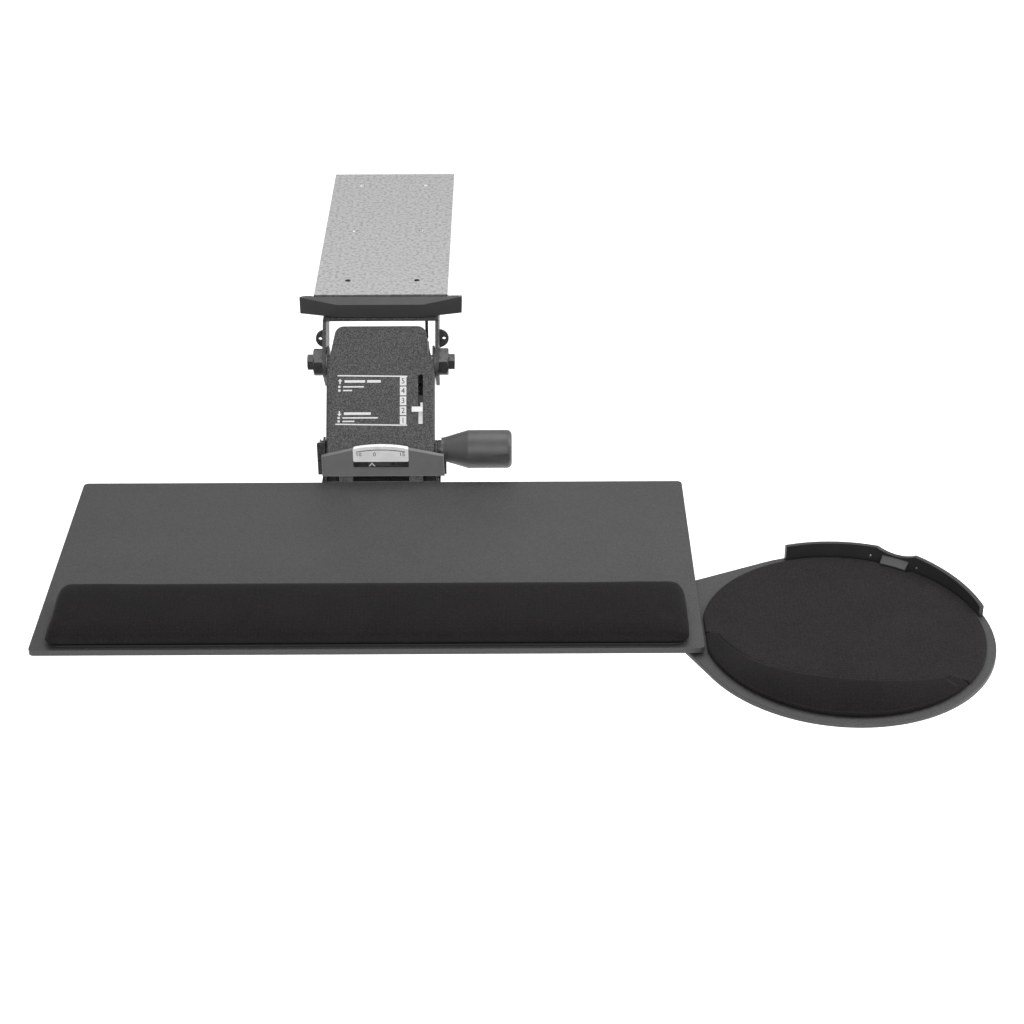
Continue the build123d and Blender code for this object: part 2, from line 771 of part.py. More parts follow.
def make_link():
    outline = stretched((upper_y + link_offset_y, upper_z - link_offset_z, link_round),
                        (lower_y + link_offset_y, lower_z - link_offset_z, link_round))
    half = link_width / 2
    body = side_shape(outline, -half, half)
    near, far = link_window_inset, arm_length - link_window_inset
    shift = Location((0, link_offset_y, -link_offset_z))
    window = along_arm(span(near, far, -link_round - overrun, link_round - link_steel),
                       link_steel - half, half - link_steel)
    body -= shift * window
    for y, z in ((upper_y, upper_z), (lower_y, lower_z)):
        body -= cross_bore(y + link_offset_y, z - link_offset_z, pin_radius + run_gap)
    return body


# Head

def make_head_frame():
    floor_low = lower_z - head_floor_drop
    floor_high = floor_low + cheek_steel
    front, back = lower_y - head_front + head_corner_round, lower_y + head_back - head_corner_round
    outline = stretched((lower_y, lower_z, cheek_round),
                        (front, floor_low + head_corner_round, head_corner_round),
                        (back, floor_low + head_corner_round, head_corner_round))
    body = side_shape(outline, -cheek_outer, -ear_inner) + side_shape(outline, ear_inner, cheek_outer)
    side = cheek_outer - edge_round
    body += block(-side, side, front, back, floor_low, floor_high)
    tab_front, tab_half = front - cheek_steel, head_tab_width / 2
    for x_sign in (-1, 1):
        x = x_sign * head_tab_x
        body += block(x - tab_half, x + tab_half, tab_front, front, floor_low, floor_low + head_tab_height)
        body += block(x - tab_half, x + tab_half, tab_front, front + cheek_steel, floor_low, floor_high)
    flange_front = lower_y - head_flange_ahead
    flange_low, flange_high = lower_z - head_flange_bottom, lower_z + head_flange_top
    flange = block(-head_flange_left, -ear_inner, flange_front, flange_front + head_flange_steel,
                   flange_low, flange_high)
    corner = flange.edges().filter_by(Axis.Y).group_by(Axis.Z)[-1].sort_by(Axis.X)[0]
    body += rounded(flange, [corner], head_flange_round)
    body += block(-cheek_outer, -ear_inner, flange_front, lower_y, flange_low, flange_high - head_flange_round)
    flange_back, low_top = flange_front + head_flange_steel, lower_z + head_cover_shoulder
    body += block(ear_inner, head_flange_right, flange_front, flange_back, flange_low, low_top)
    body += block(ear_inner, cheek_outer, flange_front, lower_y, flange_low, low_top)
    body -= cross_bore(lower_y, lower_z, shaft_radius + run_gap)
    body -= cross_bore(lower_y + link_offset_y, lower_z - link_offset_z, pin_radius + fit_gap)
    for x_sign in (-1, 1):
        body -= front_shape(Pos(x_sign * head_tab_x, cover_screw_z) * Circle(cover_screw_radius + fit_gap),
                            front - cheek_steel - overrun, front + overrun)
    return body


def cover_outline(inset):
    """The cover seen from the front: a low trapezium with a raised middle."""
    bottom, top = lower_z - head_cover_bottom + inset, lower_z + head_cover_top - inset
    shoulder = lower_z + head_cover_shoulder - inset
    left, right, foot = head_cover_left - inset, head_cover_right - inset, head_cover_right_foot - inset
    first, last = (head_cover_flat_right, top), (-head_cover_flat_left, top)
    sides = Polyline(last, (-left, shoulder), (-left, bottom), (foot, bottom), (right, shoulder), first)
    middle = (head_cover_flat_right - head_cover_flat_left) / 2
    return make_face(sides + ThreePointArc(first, (middle, top + head_cover_rise), last))


def make_head_cover():
    body = front_shape(cover_outline(0), cover_front, cover_back)
    front_edges = body.faces().sort_by(Axis.Y)[0].edges()
    body = rounded(body, front_edges, head_cover_round)
    body -= front_shape(cover_outline(head_cover_wall), cover_front + head_cover_wall, cover_back + overrun)
    window_top = lower_z + gauge_bottom
    window = Pos((gauge_left + gauge_right) / 2, window_top - window_height / 2) * RectangleRounded(
        gauge_right - gauge_left, window_height, gauge_round)
    body -= front_shape(window, cover_front - overrun, cover_back + overrun)
    tab_face = lower_y - head_front + head_corner_round - cheek_steel
    for x_sign in (-1, 1):
        boss = front_shape(Pos(x_sign * head_tab_x, cover_screw_z) * Circle(cover_boss_radius),
                           cover_front + edge_round, tab_face - fit_gap)
        pilot = front_shape(Pos(x_sign * head_tab_x, cover_screw_z) * Circle(cover_screw_radius + run_gap),
                            cover_front + head_cover_wall, tab_face + overrun)
        body = body + boss - pilot
    return body


def make_cover_screws():
    tab_back = lower_y - head_front + head_corner_round
    screws = []
    for x_sign in (-1, 1):
        place = Pos(x_sign * head_tab_x, cover_screw_z)
        tip = cover_front + head_cover_wall + fit_gap
        screw = front_shape(place * Circle(cover_screw_radius), tip, tab_back)
        head = front_shape(place * Circle(cap_screw_head_radius), tab_back, tab_back + cap_screw_head_height)
        screws.append(screw + head)
    return Compound(children=screws)


def make_gauge_plate():
    """A light plate on the cover's front, with a lip back over the cover's top."""
    bottom, top = lower_z + gauge_bottom, lower_z + head_cover_top + gauge_lip
    middle = (gauge_left + gauge_right) / 2
    sides = Polyline((gauge_left, top), (gauge_left, bottom), (gauge_right, bottom), (gauge_right, top))
    bow = ThreePointArc((gauge_right, top), (middle, top + head_cover_rise), (gauge_left, top))
    outline = make_face(sides + bow)
    outline = fillet(outline.vertices(), gauge_round)
    body = front_shape(outline, cover_front - gauge_thickness, cover_back)
    return body - front_shape(cover_outline(-fit_gap), cover_front, cover_back + overrun)


def make_tilt_slider():
    """The nut on the threaded shaft, with a finger out to a flag behind the gauge's window."""
    middle = (slider_left + slider_right) / 2
    flag_front = cover_front + head_cover_wall + slider_gap
    flag_z = lower_z + gauge_bottom - window_height / 2
    half = tilt_nut_length / 2
    nut = cross_rod(lower_y, lower_z, tilt_nut_radius, middle - half, middle + half)
    finger_z = flag_z - tilt_finger_thickness / 2
    finger = block(middle - tilt_finger_width / 2, middle + tilt_finger_width / 2,
                   flag_front + slider_thickness / 2, lower_y, finger_z, finger_z + tilt_finger_thickness)
    flag = block(slider_left, slider_right, flag_front, flag_front + slider_thickness,
                 flag_z - slider_height / 2, flag_z + slider_height / 2)
    return nut + finger + flag - cross_bore(lower_y, lower_z, shaft_radius + run_gap)


def make_tilt_arrow():
    flag_front = cover_front + head_cover_wall + slider_gap
    top = lower_z + gauge_bottom - window_height / 2 - arrow_drop + arrow_height / 2
    low, half = top - arrow_height, arrow_width / 2
    outline = make_face(Polyline(
        (arrow_x, top), (arrow_x + half, low), (arrow_x + half - arrow_stroke, low),
        (arrow_x, top - arrow_stroke * arrow_height / half), (arrow_x - half + arrow_stroke, low),
        (arrow_x - half, low), close=True))
    return front_shape(outline, flag_front - arrow_thickness, flag_front)


# Tilt shaft and knob

def make_tilt_shaft():
    left = -mount_outer - shaft_clip_thickness - shaft_groove_depth * 2
    body = cross_rod(lower_y, lower_z, shaft_radius, left, knob_root + knob_bore_depth - overrun)
    body += cross_rod(lower_y, lower_z, shaft_flange_radius, mount_outer + soft_gap / 2,
                      mount_outer + soft_gap / 2 + shaft_flange_thickness)
    groove_low = -mount_outer - shaft_clip_thickness - soft_gap
    groove_high = groove_low + shaft_clip_thickness
    ring = cross_rod(lower_y, lower_z, shaft_radius + overrun, groove_low, groove_high)
    core = cross_bore(lower_y, lower_z, shaft_radius - shaft_groove_depth)
    body -= ring - core
    pin_x = knob_root + knob_pin_place
    return body - upright_bore(pin_x)


def upright_bore(x):
    """The cross hole for the knob's pin, open below."""
    return upright_rod(x, lower_y, knob_pin_radius + run_gap, lower_z - knob_radius,
                       lower_z + knob_neck_radius + fit_gap)


def make_shaft_clip():
    low = -mount_outer - shaft_clip_thickness - soft_gap + run_gap
    high = low + shaft_clip_thickness - 2 * run_gap
    clip = cross_rod(lower_y, lower_z, shaft_clip_radius, low, high)
    mouth = shaft_radius - shaft_groove_depth
    clip -= cross_bore(lower_y, lower_z, mouth + run_gap)
    return clip - block(low - overrun, high + overrun, lower_y - mouth, lower_y + mouth,
                        lower_z - shaft_clip_radius - overrun, lower_z)


def make_knob():
    end = knob_root + knob_length
    cone_start = knob_root + knob_neck_length
    cone_end = knob_root + knob_cone_length
    outline = make_face(Polyline(
        (knob_root, 0), (knob_root, knob_neck_radius), (cone_start, knob_neck_radius),
        (cone_end, knob_radius), (end, knob_radius), (end, 0), close=True))
    body = Pos(0, lower_y, lower_z) * revolve(outline, Axis.X)
    rim = body.edges().filter_by(GeomType.CIRCLE).filter_by(lambda e: e.center().X > end - fit_gap)
    body = rounded(body, rim, knob_end_round)
    waist = body.edges().filter_by(GeomType.CIRCLE).filter_by(
        lambda e: abs(e.center().X - cone_end) < fit_gap)
    body = rounded(body, waist, knob_end_round)
    along = Plane(origin=(end - knob_flute_length, knob_radius + knob_flute_radius, 0),
                  z_dir=(knob_flute_length, -knob_flute_depth, 0))
    scoop = extrude(along * Circle(knob_flute_radius), knob_flute_length + overrun)
    for index in range(knob_flute_count):
        body -= Pos(0, lower_y, lower_z) * Rot(X=360 * index / knob_flute_count) * scoop
    bore_end = knob_root + knob_bore_depth
    body -= cross_rod(lower_y, lower_z, shaft_radius + fit_gap, knob_root - overrun, bore_end)
    return body - upright_bore(knob_root + knob_pin_place)


def make_knob_pin():
    x = knob_root + knob_pin_place
    reach = knob_neck_radius
    return upright_rod(x, lower_y, knob_pin_radius, lower_z - reach, lower_z + reach)


# Tray

def make_tray_board():
    outline = Pos(tray_shift, tray_middle_y) * RectangleRounded(tray_width, tray_depth, tray_corner_round)
    body = flat_shape(outline, tray_bottom, tray_top)
    rims = body.faces().sort_by(Axis.Z)[-1].edges() + body.faces().sort_by(Axis.Z)[0].edges()
    body = rounded(body, rims, edge_round / 2)
    for x, y in mount_screw_places():
        body -= upright_rod(x, y, mount_screw_radius + run_gap, tray_bottom - overrun,
                            tray_bottom + mount_screw_bite + fit_gap)
    seat_top = tray_bottom + insert_depth
    return body - upright_rod(boss_x, boss_y, insert_radius + run_gap, tray_bottom - overrun, seat_top)


def mount_screw_places():
    """Where the bracket's screws stand."""
    first = tray_rear - mount_screw_inset
    step = mount_screw_span_y / (mount_screw_rows - 1)
    return [(x_sign * mount_screw_span_x / 2, first - row * step)
            for x_sign in (-1, 1) for row in range(mount_screw_rows)]


def make_tray_bracket():
    low = tray_bottom - mount_steel
    front = tray_rear - mount_depth
    body = block(-mount_outer, mount_outer, front, tray_rear - edge_round, low, tray_bottom)
    foot_z = lower_z - mount_ear_foot_drop
    flange_low = tray_bottom + tray_thickness - mount_flange_drop
    ear = stretched((lower_y, lower_z, mount_ear_round),
                    (lower_y + mount_ear_foot_back, foot_z, mount_ear_foot_round))
    flange = stretched((front + mount_flange_round, flange_low + mount_flange_round, mount_flange_round),
                       (front + mount_flange_round, tray_bottom - mount_flange_round, mount_flange_round),
                       (lower_y, flange_low + mount_ear_foot_round, mount_ear_foot_round),
                       (lower_y, tray_bottom - mount_flange_round, mount_flange_round))
    flange -= span(front - overrun, lower_y + track_width, tray_bottom, tray_top + overrun)
    for x_low in (-mount_outer, mount_inner):
        body += side_shape(ear, x_low, x_low + mount_steel)
        body += side_shape(flange, x_low, x_low + mount_steel)
    for x, y in mount_screw_places():
        body -= upright_rod(x, y, mount_screw_radius + fit_gap, low - overrun, tray_bottom + overrun)
    return body - cross_bore(lower_y, lower_z, shaft_radius + run_gap)


def make_bracket_screws():
    low = tray_bottom - mount_steel
    screws = []
    for x, y in mount_screw_places():
        shank = upright_rod(x, y, mount_screw_radius, low, tray_bottom + mount_screw_bite)
        head = upright_rod(x, y, mount_screw_head_radius, low - mount_screw_head_height, low)
        screws.append(shank + rounded(head, head.edges().group_by(Axis.Z)[0], edge_round))
    return Compound(children=screws)


# Palm rest on the board

def palm_plan(inset):
    """The palm rest's outline from above."""
    width = palm_right - palm_left - 2 * inset
    middle = tray_shift + (palm_left + palm_right) / 2
    return Pos(middle, palm_front + palm_depth / 2) * RectangleRounded(
        width, palm_depth - 2 * inset, palm_corner_round - inset)


def make_palm_base():
    return flat_shape(palm_plan(palm_tuck), tray_top, palm_low)


def make_palm_rest():
    """A crowned bar, drawn in at its foot."""
    back, crest = palm_front + palm_depth, palm_front + palm_depth * palm_crest_share
    top, nose_z = tray_top + palm_height, tray_top + palm_front_height
    front_foot, back_foot = (palm_front + palm_tuck, palm_low), (back - palm_tuck, palm_low)
    back_top = (back - palm_tuck, top - palm_rear_drop)
    front_top = (palm_front + palm_edge_round, nose_z + palm_edge_round / 2)
    profile = make_face(
        Line(front_foot, back_foot)
        + ThreePointArc(back_foot, (back, (palm_low + top) / 2), back_top)
        + ThreePointArc(back_top, (crest, top), front_top)
        + ThreePointArc(front_top, (palm_front, nose_z - palm_edge_round / 2), front_foot))
    body = side_shape(profile, tray_shift + palm_left, tray_shift + palm_right)
    return body & flat_shape(palm_plan(0), palm_low, top)


# Mouse platform

def on_rim(angle, radius):
    """A point of the platform, by its angle and distance from the middle."""
    turn = math.radians(angle)
    return plate_x + radius * math.cos(turn), plate_y + radius * math.sin(turn)


def make_platform():
    outline = stretched((plate_x, plate_y, plate_radius), (boss_x, boss_y, plate_boss_radius))
    body = flat_shape(outline, platform_bottom, platform_top)
    rims = body.faces().sort_by(Axis.Z)[-1].edges() + body.faces().sort_by(Axis.Z)[0].edges()
    body = rounded(body, rims, plate_edge_round)
    low, high = platform_bottom - overrun, platform_top + overrun
    for angle in fence_screw_angles:
        x, y = on_rim(angle, fence_screw_ring)
        body -= upright_rod(x, y, fence_screw_radius + run_gap, low, high)
    return body - upright_rod(boss_x, boss_y, post_radius + run_gap, low, high)


def make_post():
    """The bolt that the platform swings on."""
    hexagon_outline = Pos(boss_x, boss_y) * RegularPolygon(post_head_flats / 2, 6, major_radius=False)
    head_top = platform_bottom - run_gap * 2
    head = flat_shape(hexagon_outline, head_top - post_head_height, head_top)
    return head + upright_rod(boss_x, boss_y, post_radius, head_top, tray_bottom + insert_depth - fit_gap)


def make_post_washer():
    low, high = platform_top + run_gap, tray_bottom - run_gap
    washer = upright_rod(boss_x, boss_y, post_washer_radius, low, high)
    return washer - upright_rod(boss_x, boss_y, post_radius + run_gap, low - overrun, high + overrun)


def make_insert():
    ring = upright_rod(boss_x, boss_y, insert_radius, tray_bottom, tray_bottom + insert_depth - run_gap)
    return ring - upright_rod(boss_x, boss_y, post_radius + run_gap, tray_bottom - overrun, tray_top)


def pad_outline(inset):
    """A circle with a straight side beside the board."""
    cut = tray_shift + pad_left + inset
    whole = Pos(pad_x, pad_y) * Circle(pad_radius - inset)
    kept = span(cut, pad_x + pad_radius, pad_y - pad_radius, pad_y + pad_radius)
    return whole & kept


def crescent_outline(inset):
    """The front of the pad, outside the inner circle and between lines at its two ends."""
    inner_x, inner_y = tray_shift + crescent_inner_x, tray_middle_y + crescent_inner_y
    inner = Pos(inner_x, inner_y) * Circle(crescent_inner_radius + inset)
    end_x = on_rim(crescent_end_angle, pad_radius)[0]
    left_y = tray_middle_y + crescent_left_y
    front = span(pad_x - pad_radius - overrun, end_x - inset, pad_y - pad_radius - overrun, left_y - inset)
    return (pad_outline(inset) & front) - inner


def make_pad():
    notch = ring_outline(saddle_inner - soft_gap, fence_radius, saddle_start_angle - saddle_gap_angle,
                         saddle_end_angle + saddle_gap_angle)
    body = flat_shape(pad_outline(0) - crescent_outline(-soft_gap) - notch,
                      platform_top, platform_top + pad_thickness)
    return max(body.solids(), key=lambda solid: solid.volume)


def make_crescent():
    """A raised palm rest round the front of the pad, rounded on top and falling towards its ends."""
    low, high = platform_top, platform_top + crescent_height
    disc = upright_rod(pad_x, pad_y, pad_radius, low, high)
    disc = rounded(disc, disc.faces().sort_by(Axis.Z)[-1].edges(), crescent_outer_fillet)
    inner_x, inner_y = tray_shift + crescent_inner_x, tray_middle_y + crescent_inner_y
    ring = upright_rod(inner_x, inner_y, crescent_inner_radius * 2, low, high)
    ring -= upright_rod(inner_x, inner_y, crescent_inner_radius, low - overrun, high + overrun)
    rim = ring.edges().filter_by(GeomType.CIRCLE).filter_by(
        lambda e: e.radius < crescent_inner_radius + soft_gap and e.center().Z > high - soft_gap)
    ring = rounded(ring, rim, crescent_inner_fillet)
    end_x = on_rim(crescent_end_angle, pad_radius)[0]
    left_y = tray_middle_y + crescent_left_y
    start_x, left_x = end_x - crescent_end_length, tray_shift + pad_left
    fall = TangentArc((start_x, high), (end_x, low + crescent_end_height), tangent=(1, 0))
    rest = Polyline((end_x, low + crescent_end_height), (end_x, low), (left_x, low), (left_x, high),
                    (start_x, high))
    ends = front_shape(make_face(fall + rest), pad_y - pad_radius - overrun, left_y)
    crown_x = tray_shift + crescent_crown_x
    crown = front_shape(Pos(crown_x, high - crescent_crown_radius) * Circle(crescent_crown_radius),
                        pad_y - pad_radius - overrun, left_y)
    whole = disc & ring & ends & crown
    return max(whole.solids(), key=lambda solid: solid.volume)


def make_fence():
    """A low wall round the rear and right rim, in two stretches with a dip between them."""
    stretches = (
        (fence_start_angle, dip_start_angle, fence_start_height, dip_start_height),
        (dip_start_angle, dip_end_angle, dip_start_height, dip_end_height),
        (dip_end_angle, fence_end_angle, dip_end_height, fence_end_height))
    body = None
    for first, last, first_height, last_height in stretches:
        wall = fence_stretch(first, last, first_height, last_height)
        body = wall if body is None else body + wall
    for angle in fence_screw_angles:
        x, y = on_rim(angle, fence_screw_ring)
        body -= upright_rod(x, y, fence_screw_radius + run_gap, platform_top - overrun,
                            platform_top + fence_screw_bite)
    for angle in fence_hole_angles:
        x, y = on_rim(angle, fence_screw_ring)
        turn = math.radians(angle)
        way = Plane(origin=(x, y, platform_top + fence_hole_height),
                    z_dir=(math.cos(turn), math.sin(turn), 0))
        body -= extrude(way * Circle(fence_hole_radius), amount=fence_thickness, both=True)
    return body


def fence_stretch(first, last, first_height, last_height):
    """One stretch of the fence, its top straight, or an arc over the dip."""
    low = platform_top
    wall = ring_piece(fence_inner, fence_radius, first, last, low, low + max(first_height, last_height))
    start, end = on_rim(first, fence_radius), on_rim(last, fence_radius)
    run = math.dist(start, end)
    high = max(first_height, last_height) + overrun
    side = Plane(origin=(*start, low), x_dir=(end[0] - start[0], end[1] - start[1], 0),
                 z_dir=(end[1] - start[1], start[0] - end[0], 0))
    if first == dip_start_angle:
        low_x = run * (dip_low_angle - first) / (last - first)
        top = ThreePointArc((0, first_height), (low_x, dip_low_height), (run, last_height))
    else:
        top = Line((0, first_height), (run, last_height))
    rest = Polyline((run, last_height), (run + overrun, last_height), (run + overrun, high),
                    (-overrun, high), (-overrun, first_height), (0, first_height))
    return wall - extrude(side * make_face(top + rest), amount=fence_radius / 2, both=True)


def ring_outline(inner, outer, first, last):
    """Part of a flat ring round the platform's middle, between two angles in degrees."""
    middle = (first + last) / 2
    outside = arc_points(outer, first, middle, last)
    inside = arc_points(inner, last, middle, first)
    return make_face(ThreePointArc(*outside) + Line(outside[-1], inside[0])
                     + ThreePointArc(*inside) + Line(inside[-1], outside[0]))


def ring_piece(inner, outer, first, last, low, high):
    """A wall that follows part of such a ring."""
    return flat_shape(ring_outline(inner, outer, first, last), low, high)


def arc_points(radius, *angles):
    """Points at these angles on a circle round the platform's middle."""
    return [on_rim(angle, radius) for angle in angles]


def make_saddle():
    """A ramp from the pad's top up to the fence, rounded on top."""
    turn = math.radians(saddle_start_angle)
    start = Plane(origin=(plate_x, plate_y, platform_top), x_dir=(math.cos(turn), math.sin(turn), 0),
                  z_dir=(math.sin(turn), -math.cos(turn), 0))
    profile = make_face(Polyline(
        (saddle_inner, 0), (saddle_outer, 0), (saddle_outer, saddle_high_height),
        (saddle_inner, saddle_low_height), close=True))
    middle = Axis((plate_x, plate_y, 0), (0, 0, 1))
    body = revolve(start * profile, middle, saddle_end_angle - saddle_start_angle)
    slopes = body.faces().sort_by(Axis.Z)[-1].edges().filter_by(GeomType.LINE)
    return rounded(body, slopes, saddle_round)


def make_fence_screws():
    """Small screws up through the platform into the fence."""
    screws = []
    for angle in fence_screw_angles:
        x, y = on_rim(angle, fence_screw_ring)
        tip = platform_top + fence_screw_bite - fit_gap
        shank = upright_rod(x, y, fence_screw_radius, platform_bottom, tip)
        head_low = platform_bottom - fence_screw_head_height
        head = upright_rod(x, y, fence_screw_head_radius, head_low, platform_bottom)
        screws.append(shank + head)
    return Compound(children=screws)


def main():
    os.makedirs("parts", exist_ok=True)
    rear_stop_y = -track_front - rear_stop_inset - stop_length
    save(make_track(), "track")
    save(make_track_cap(), "track_cap")
    save(make_cap_screws(), "cap_screws")
    save(make_stop(track_front), "front_stop")
    save(make_stop(rear_stop_y), "rear_stop")
    save(make_carriage(), "carriage")
    save(make_glide(-1), "glide_left")
    save(make_glide(1), "glide_right")
    save(make_swivel_disc(), "swivel_disc")
    save(make_rivet(), "swivel_rivet")
    save(make_swivel_washer(), "swivel_washer")
    save(make_swivel_bracket(), "swivel_bracket")
    save(make_sleeve(), "pivot_sleeve")
    save(make_sleeve_nuts(), "sleeve_nuts")
    save(make_pivot_bolt(), "pivot_bolt")
    save(make_pivot_nut(), "pivot_nut")
    save(make_friction_washers(), "friction_washers")
    save(make_spring(-1), "spring_left")
    save(make_spring(1), "spring_right")
    save(make_link_pin(upper_y + link_offset_y, upper_z - link_offset_z, ear_outer), "upper_link_pin")
    save(make_link_pin(lower_y + link_offset_y, lower_z - link_offset_z, cheek_outer), "lower_link_pin")
    save(make_arm(), "arm")
    save(make_pointer_slider(), "height_slider")
    save(make_pointer_mark(), "height_mark")
    save(make_link(), "tie_link")
    save(make_head_frame(), "head_frame")
    save(make_head_cover(), "head_cover")
    save(make_cover_screws(), "cover_screws")
    save(make_gauge_plate(), "gauge_plate")
    save(make_tilt_slider(), "tilt_slider")
    save(make_tilt_arrow(), "tilt_arrow")
    save(make_tilt_shaft(), "tilt_shaft")
    save(make_shaft_clip(), "shaft_clip")
    save(make_knob(), "tilt_knob")
    save(make_knob_pin(), "knob_pin")
    save(make_tray_bracket(), "tray_bracket")
    save(make_bracket_screws(), "bracket_screws")
    save(make_tray_board(), "tray_board")
    save(make_palm_base(), "palm_rest_base")
    save(make_palm_rest(), "palm_rest")
    save(make_post(), "platform_post")
    save(make_post_washer(), "post_washer")
    save(make_insert(), "threaded_insert")
    save(make_platform(), "mouse_platform")
    save(make_pad(), "mouse_pad")
    save(make_crescent(), "mouse_palm_rest")
    save(make_fence(), "fence")
    save(make_fence_screws(), "fence_screws")
    save(make_saddle(), "cord_saddle")


main()
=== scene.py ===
# %% [markdown]
# # A keyboard tray on a height arm
#
# A track screws under a desk. A carriage slides in it and turns, and an arm hangs from the carriage and
# carries the tray, with a round mouse platform on its right. The rigid parts come ready made from the CAD
# frame, already in place and in metres, so this script gives them their finishes. It makes only what CAD
# can't show well: the padded pieces, the springs and the printed marks.

# %% Load the CAD frame and keep its box
import math

import bpy
from mathutils import Matrix, Vector


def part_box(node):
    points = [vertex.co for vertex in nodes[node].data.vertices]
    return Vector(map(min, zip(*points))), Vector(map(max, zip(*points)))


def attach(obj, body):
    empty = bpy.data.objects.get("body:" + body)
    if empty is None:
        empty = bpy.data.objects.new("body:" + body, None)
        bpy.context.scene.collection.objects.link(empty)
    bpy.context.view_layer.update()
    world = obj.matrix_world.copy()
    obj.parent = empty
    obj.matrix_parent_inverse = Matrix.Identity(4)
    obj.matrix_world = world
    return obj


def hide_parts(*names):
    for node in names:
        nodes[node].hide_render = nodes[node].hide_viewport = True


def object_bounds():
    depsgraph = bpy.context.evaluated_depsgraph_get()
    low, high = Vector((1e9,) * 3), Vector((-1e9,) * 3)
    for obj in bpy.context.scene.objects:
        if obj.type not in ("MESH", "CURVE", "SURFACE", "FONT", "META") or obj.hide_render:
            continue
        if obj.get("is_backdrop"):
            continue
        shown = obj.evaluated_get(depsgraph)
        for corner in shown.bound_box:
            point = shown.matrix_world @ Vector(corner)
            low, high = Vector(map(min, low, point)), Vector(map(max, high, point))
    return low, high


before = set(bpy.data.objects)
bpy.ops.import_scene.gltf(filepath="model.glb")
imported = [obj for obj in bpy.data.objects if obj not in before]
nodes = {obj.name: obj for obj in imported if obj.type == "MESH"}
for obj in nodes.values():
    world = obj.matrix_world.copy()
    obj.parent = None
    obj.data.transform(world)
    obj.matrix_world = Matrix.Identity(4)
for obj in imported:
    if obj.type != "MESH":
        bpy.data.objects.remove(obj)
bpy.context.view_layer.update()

MM = 0.001
scene = bpy.context.scene

# %% [markdown]
# ## Places taken from the frame
#
# Each piece that is made here sits on a CAD part, so it starts from that part's box and not from typed
# places. A round part's axis runs through the middle of its box. The arm's printed face lies at a slope, so
# it gets three directions of its own: down the arm, across it, and outward from its face.

# %% Read the pivots and the tray's place
def middle(node):
    low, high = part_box(node)
    return (low + high) / 2


tray_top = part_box("tray_board")[1].z
board_x, board_y = middle("tray_board").x, middle("tray_board").y
upper_pivot = Vector((0, middle("pivot_sleeve").y, middle("pivot_sleeve").z))
lower_pivot = Vector((0, middle("tilt_shaft").y, middle("tilt_shaft").z))
arm_down = (lower_pivot - upper_pivot).normalized()
arm_out = Vector((0, arm_down.z, -arm_down.y))
across = Vector((1, 0, 0))
print("arm slope:", round(math.degrees(math.asin(-arm_down.z)), 1), "degrees, tray top at",
      round(tray_top / MM, 1), "mm")

# %% [markdown]
# ## Camera
#
# A product photograph is taken from far away with a long lens, so that edges that are parallel stay nearly
# parallel. The camera's place was worked out from the board's four corners in the photograph, seen from the
# middle of the board's top. Its three directions are built from the pitch and a small roll, and become the
# columns of its matrix.

# %% Camera at the photograph's place
CAMERA_FROM_BOARD = (109.7, -1470.8, 905.4)
LENS, SENSOR = 75.87, 36
PITCH, ROLL = math.radians(30.35), math.radians(-0.256)


def make_camera():
    ahead = Vector((0, math.cos(PITCH), -math.sin(PITCH)))
    level_up = across.cross(ahead)
    right = math.cos(ROLL) * across + math.sin(ROLL) * level_up
    up = -math.sin(ROLL) * across + math.cos(ROLL) * level_up
    data = bpy.data.cameras.new("camera")
    data.lens, data.sensor_width = LENS, SENSOR
    camera = bpy.data.objects.new("camera", data)
    scene.collection.objects.link(camera)
    turn = Matrix((right, up, -ahead)).transposed().to_4x4()
    place = Vector((board_x, board_y, tray_top)) + Vector(CAMERA_FROM_BOARD) * MM
    camera.matrix_world = Matrix.Translation(place) @ turn
    return camera


scene.camera = make_camera()
print("camera at", [round(v, 3) for v in scene.camera.matrix_world.translation])

# %% [markdown]
# ## Material maths
#
# A procedural material is arithmetic on positions. Written node by node it is long and hard to read, so one
# small class wraps an output socket: a sum or product of two values adds a Math node, and `node` adds any
# other kind. A finish is then a line of maths that ends in the shader's colour, roughness and bump.

# %% The socket class
class Wire:
    """One output socket of a material. Arithmetic adds Math nodes, and node() adds any other node."""

    def __init__(self, tree, socket=None):
        self.tree, self.socket = tree, socket

    def join(self, target, value):
        if isinstance(value, Wire):
            self.tree.links.new(value.socket, target)
        elif isinstance(value, tuple) and len(value) == 3 and target.type == "RGBA":
            target.default_value = (*value, 1)
        else:
            target.default_value = value

    def node(self, kind, settings, sockets, output=0):
        made = self.tree.nodes.new("ShaderNode" + kind)
        for name, value in settings.items():
            if name == "stops":
                for stop, (place, shade) in zip(made.color_ramp.elements, value):
                    stop.position, stop.color = place, (shade, shade, shade, 1)
            else:
                setattr(made, name, value)
        for name, value in sockets.items():
            self.join(made.inputs[name], value)
        return Wire(self.tree, made.outputs[output])

    def maths(self, operation, first, second):
        return self.node("Math", {"operation": operation}, {0: first, 1: second})

    def __add__(self, other):
        return self.maths("ADD", self, other)

    def __sub__(self, other):
        return self.maths("SUBTRACT", self, other)

    def __rsub__(self, other):
        return self.maths("SUBTRACT", other, self)

    def __mul__(self, other):
        return self.maths("MULTIPLY", self, other)

    __radd__, __rmul__ = __add__, __mul__


print("socket class ready")

# %% [markdown]
# ## Grain, speckle and tint
#
# Three helpers serve every finish. `grain` is a noise whose grains have a size in millimetres. `sharpen`
# turns it into spots by cutting it between two levels. `tint` mixes two colours by a mask. The positions
# come from the object's own coordinates, so the pattern stays on the piece when it moves.

# %% Helpers for patterns
def positions(wire):
    return wire.node("TexCoord", {}, {}, "Object")


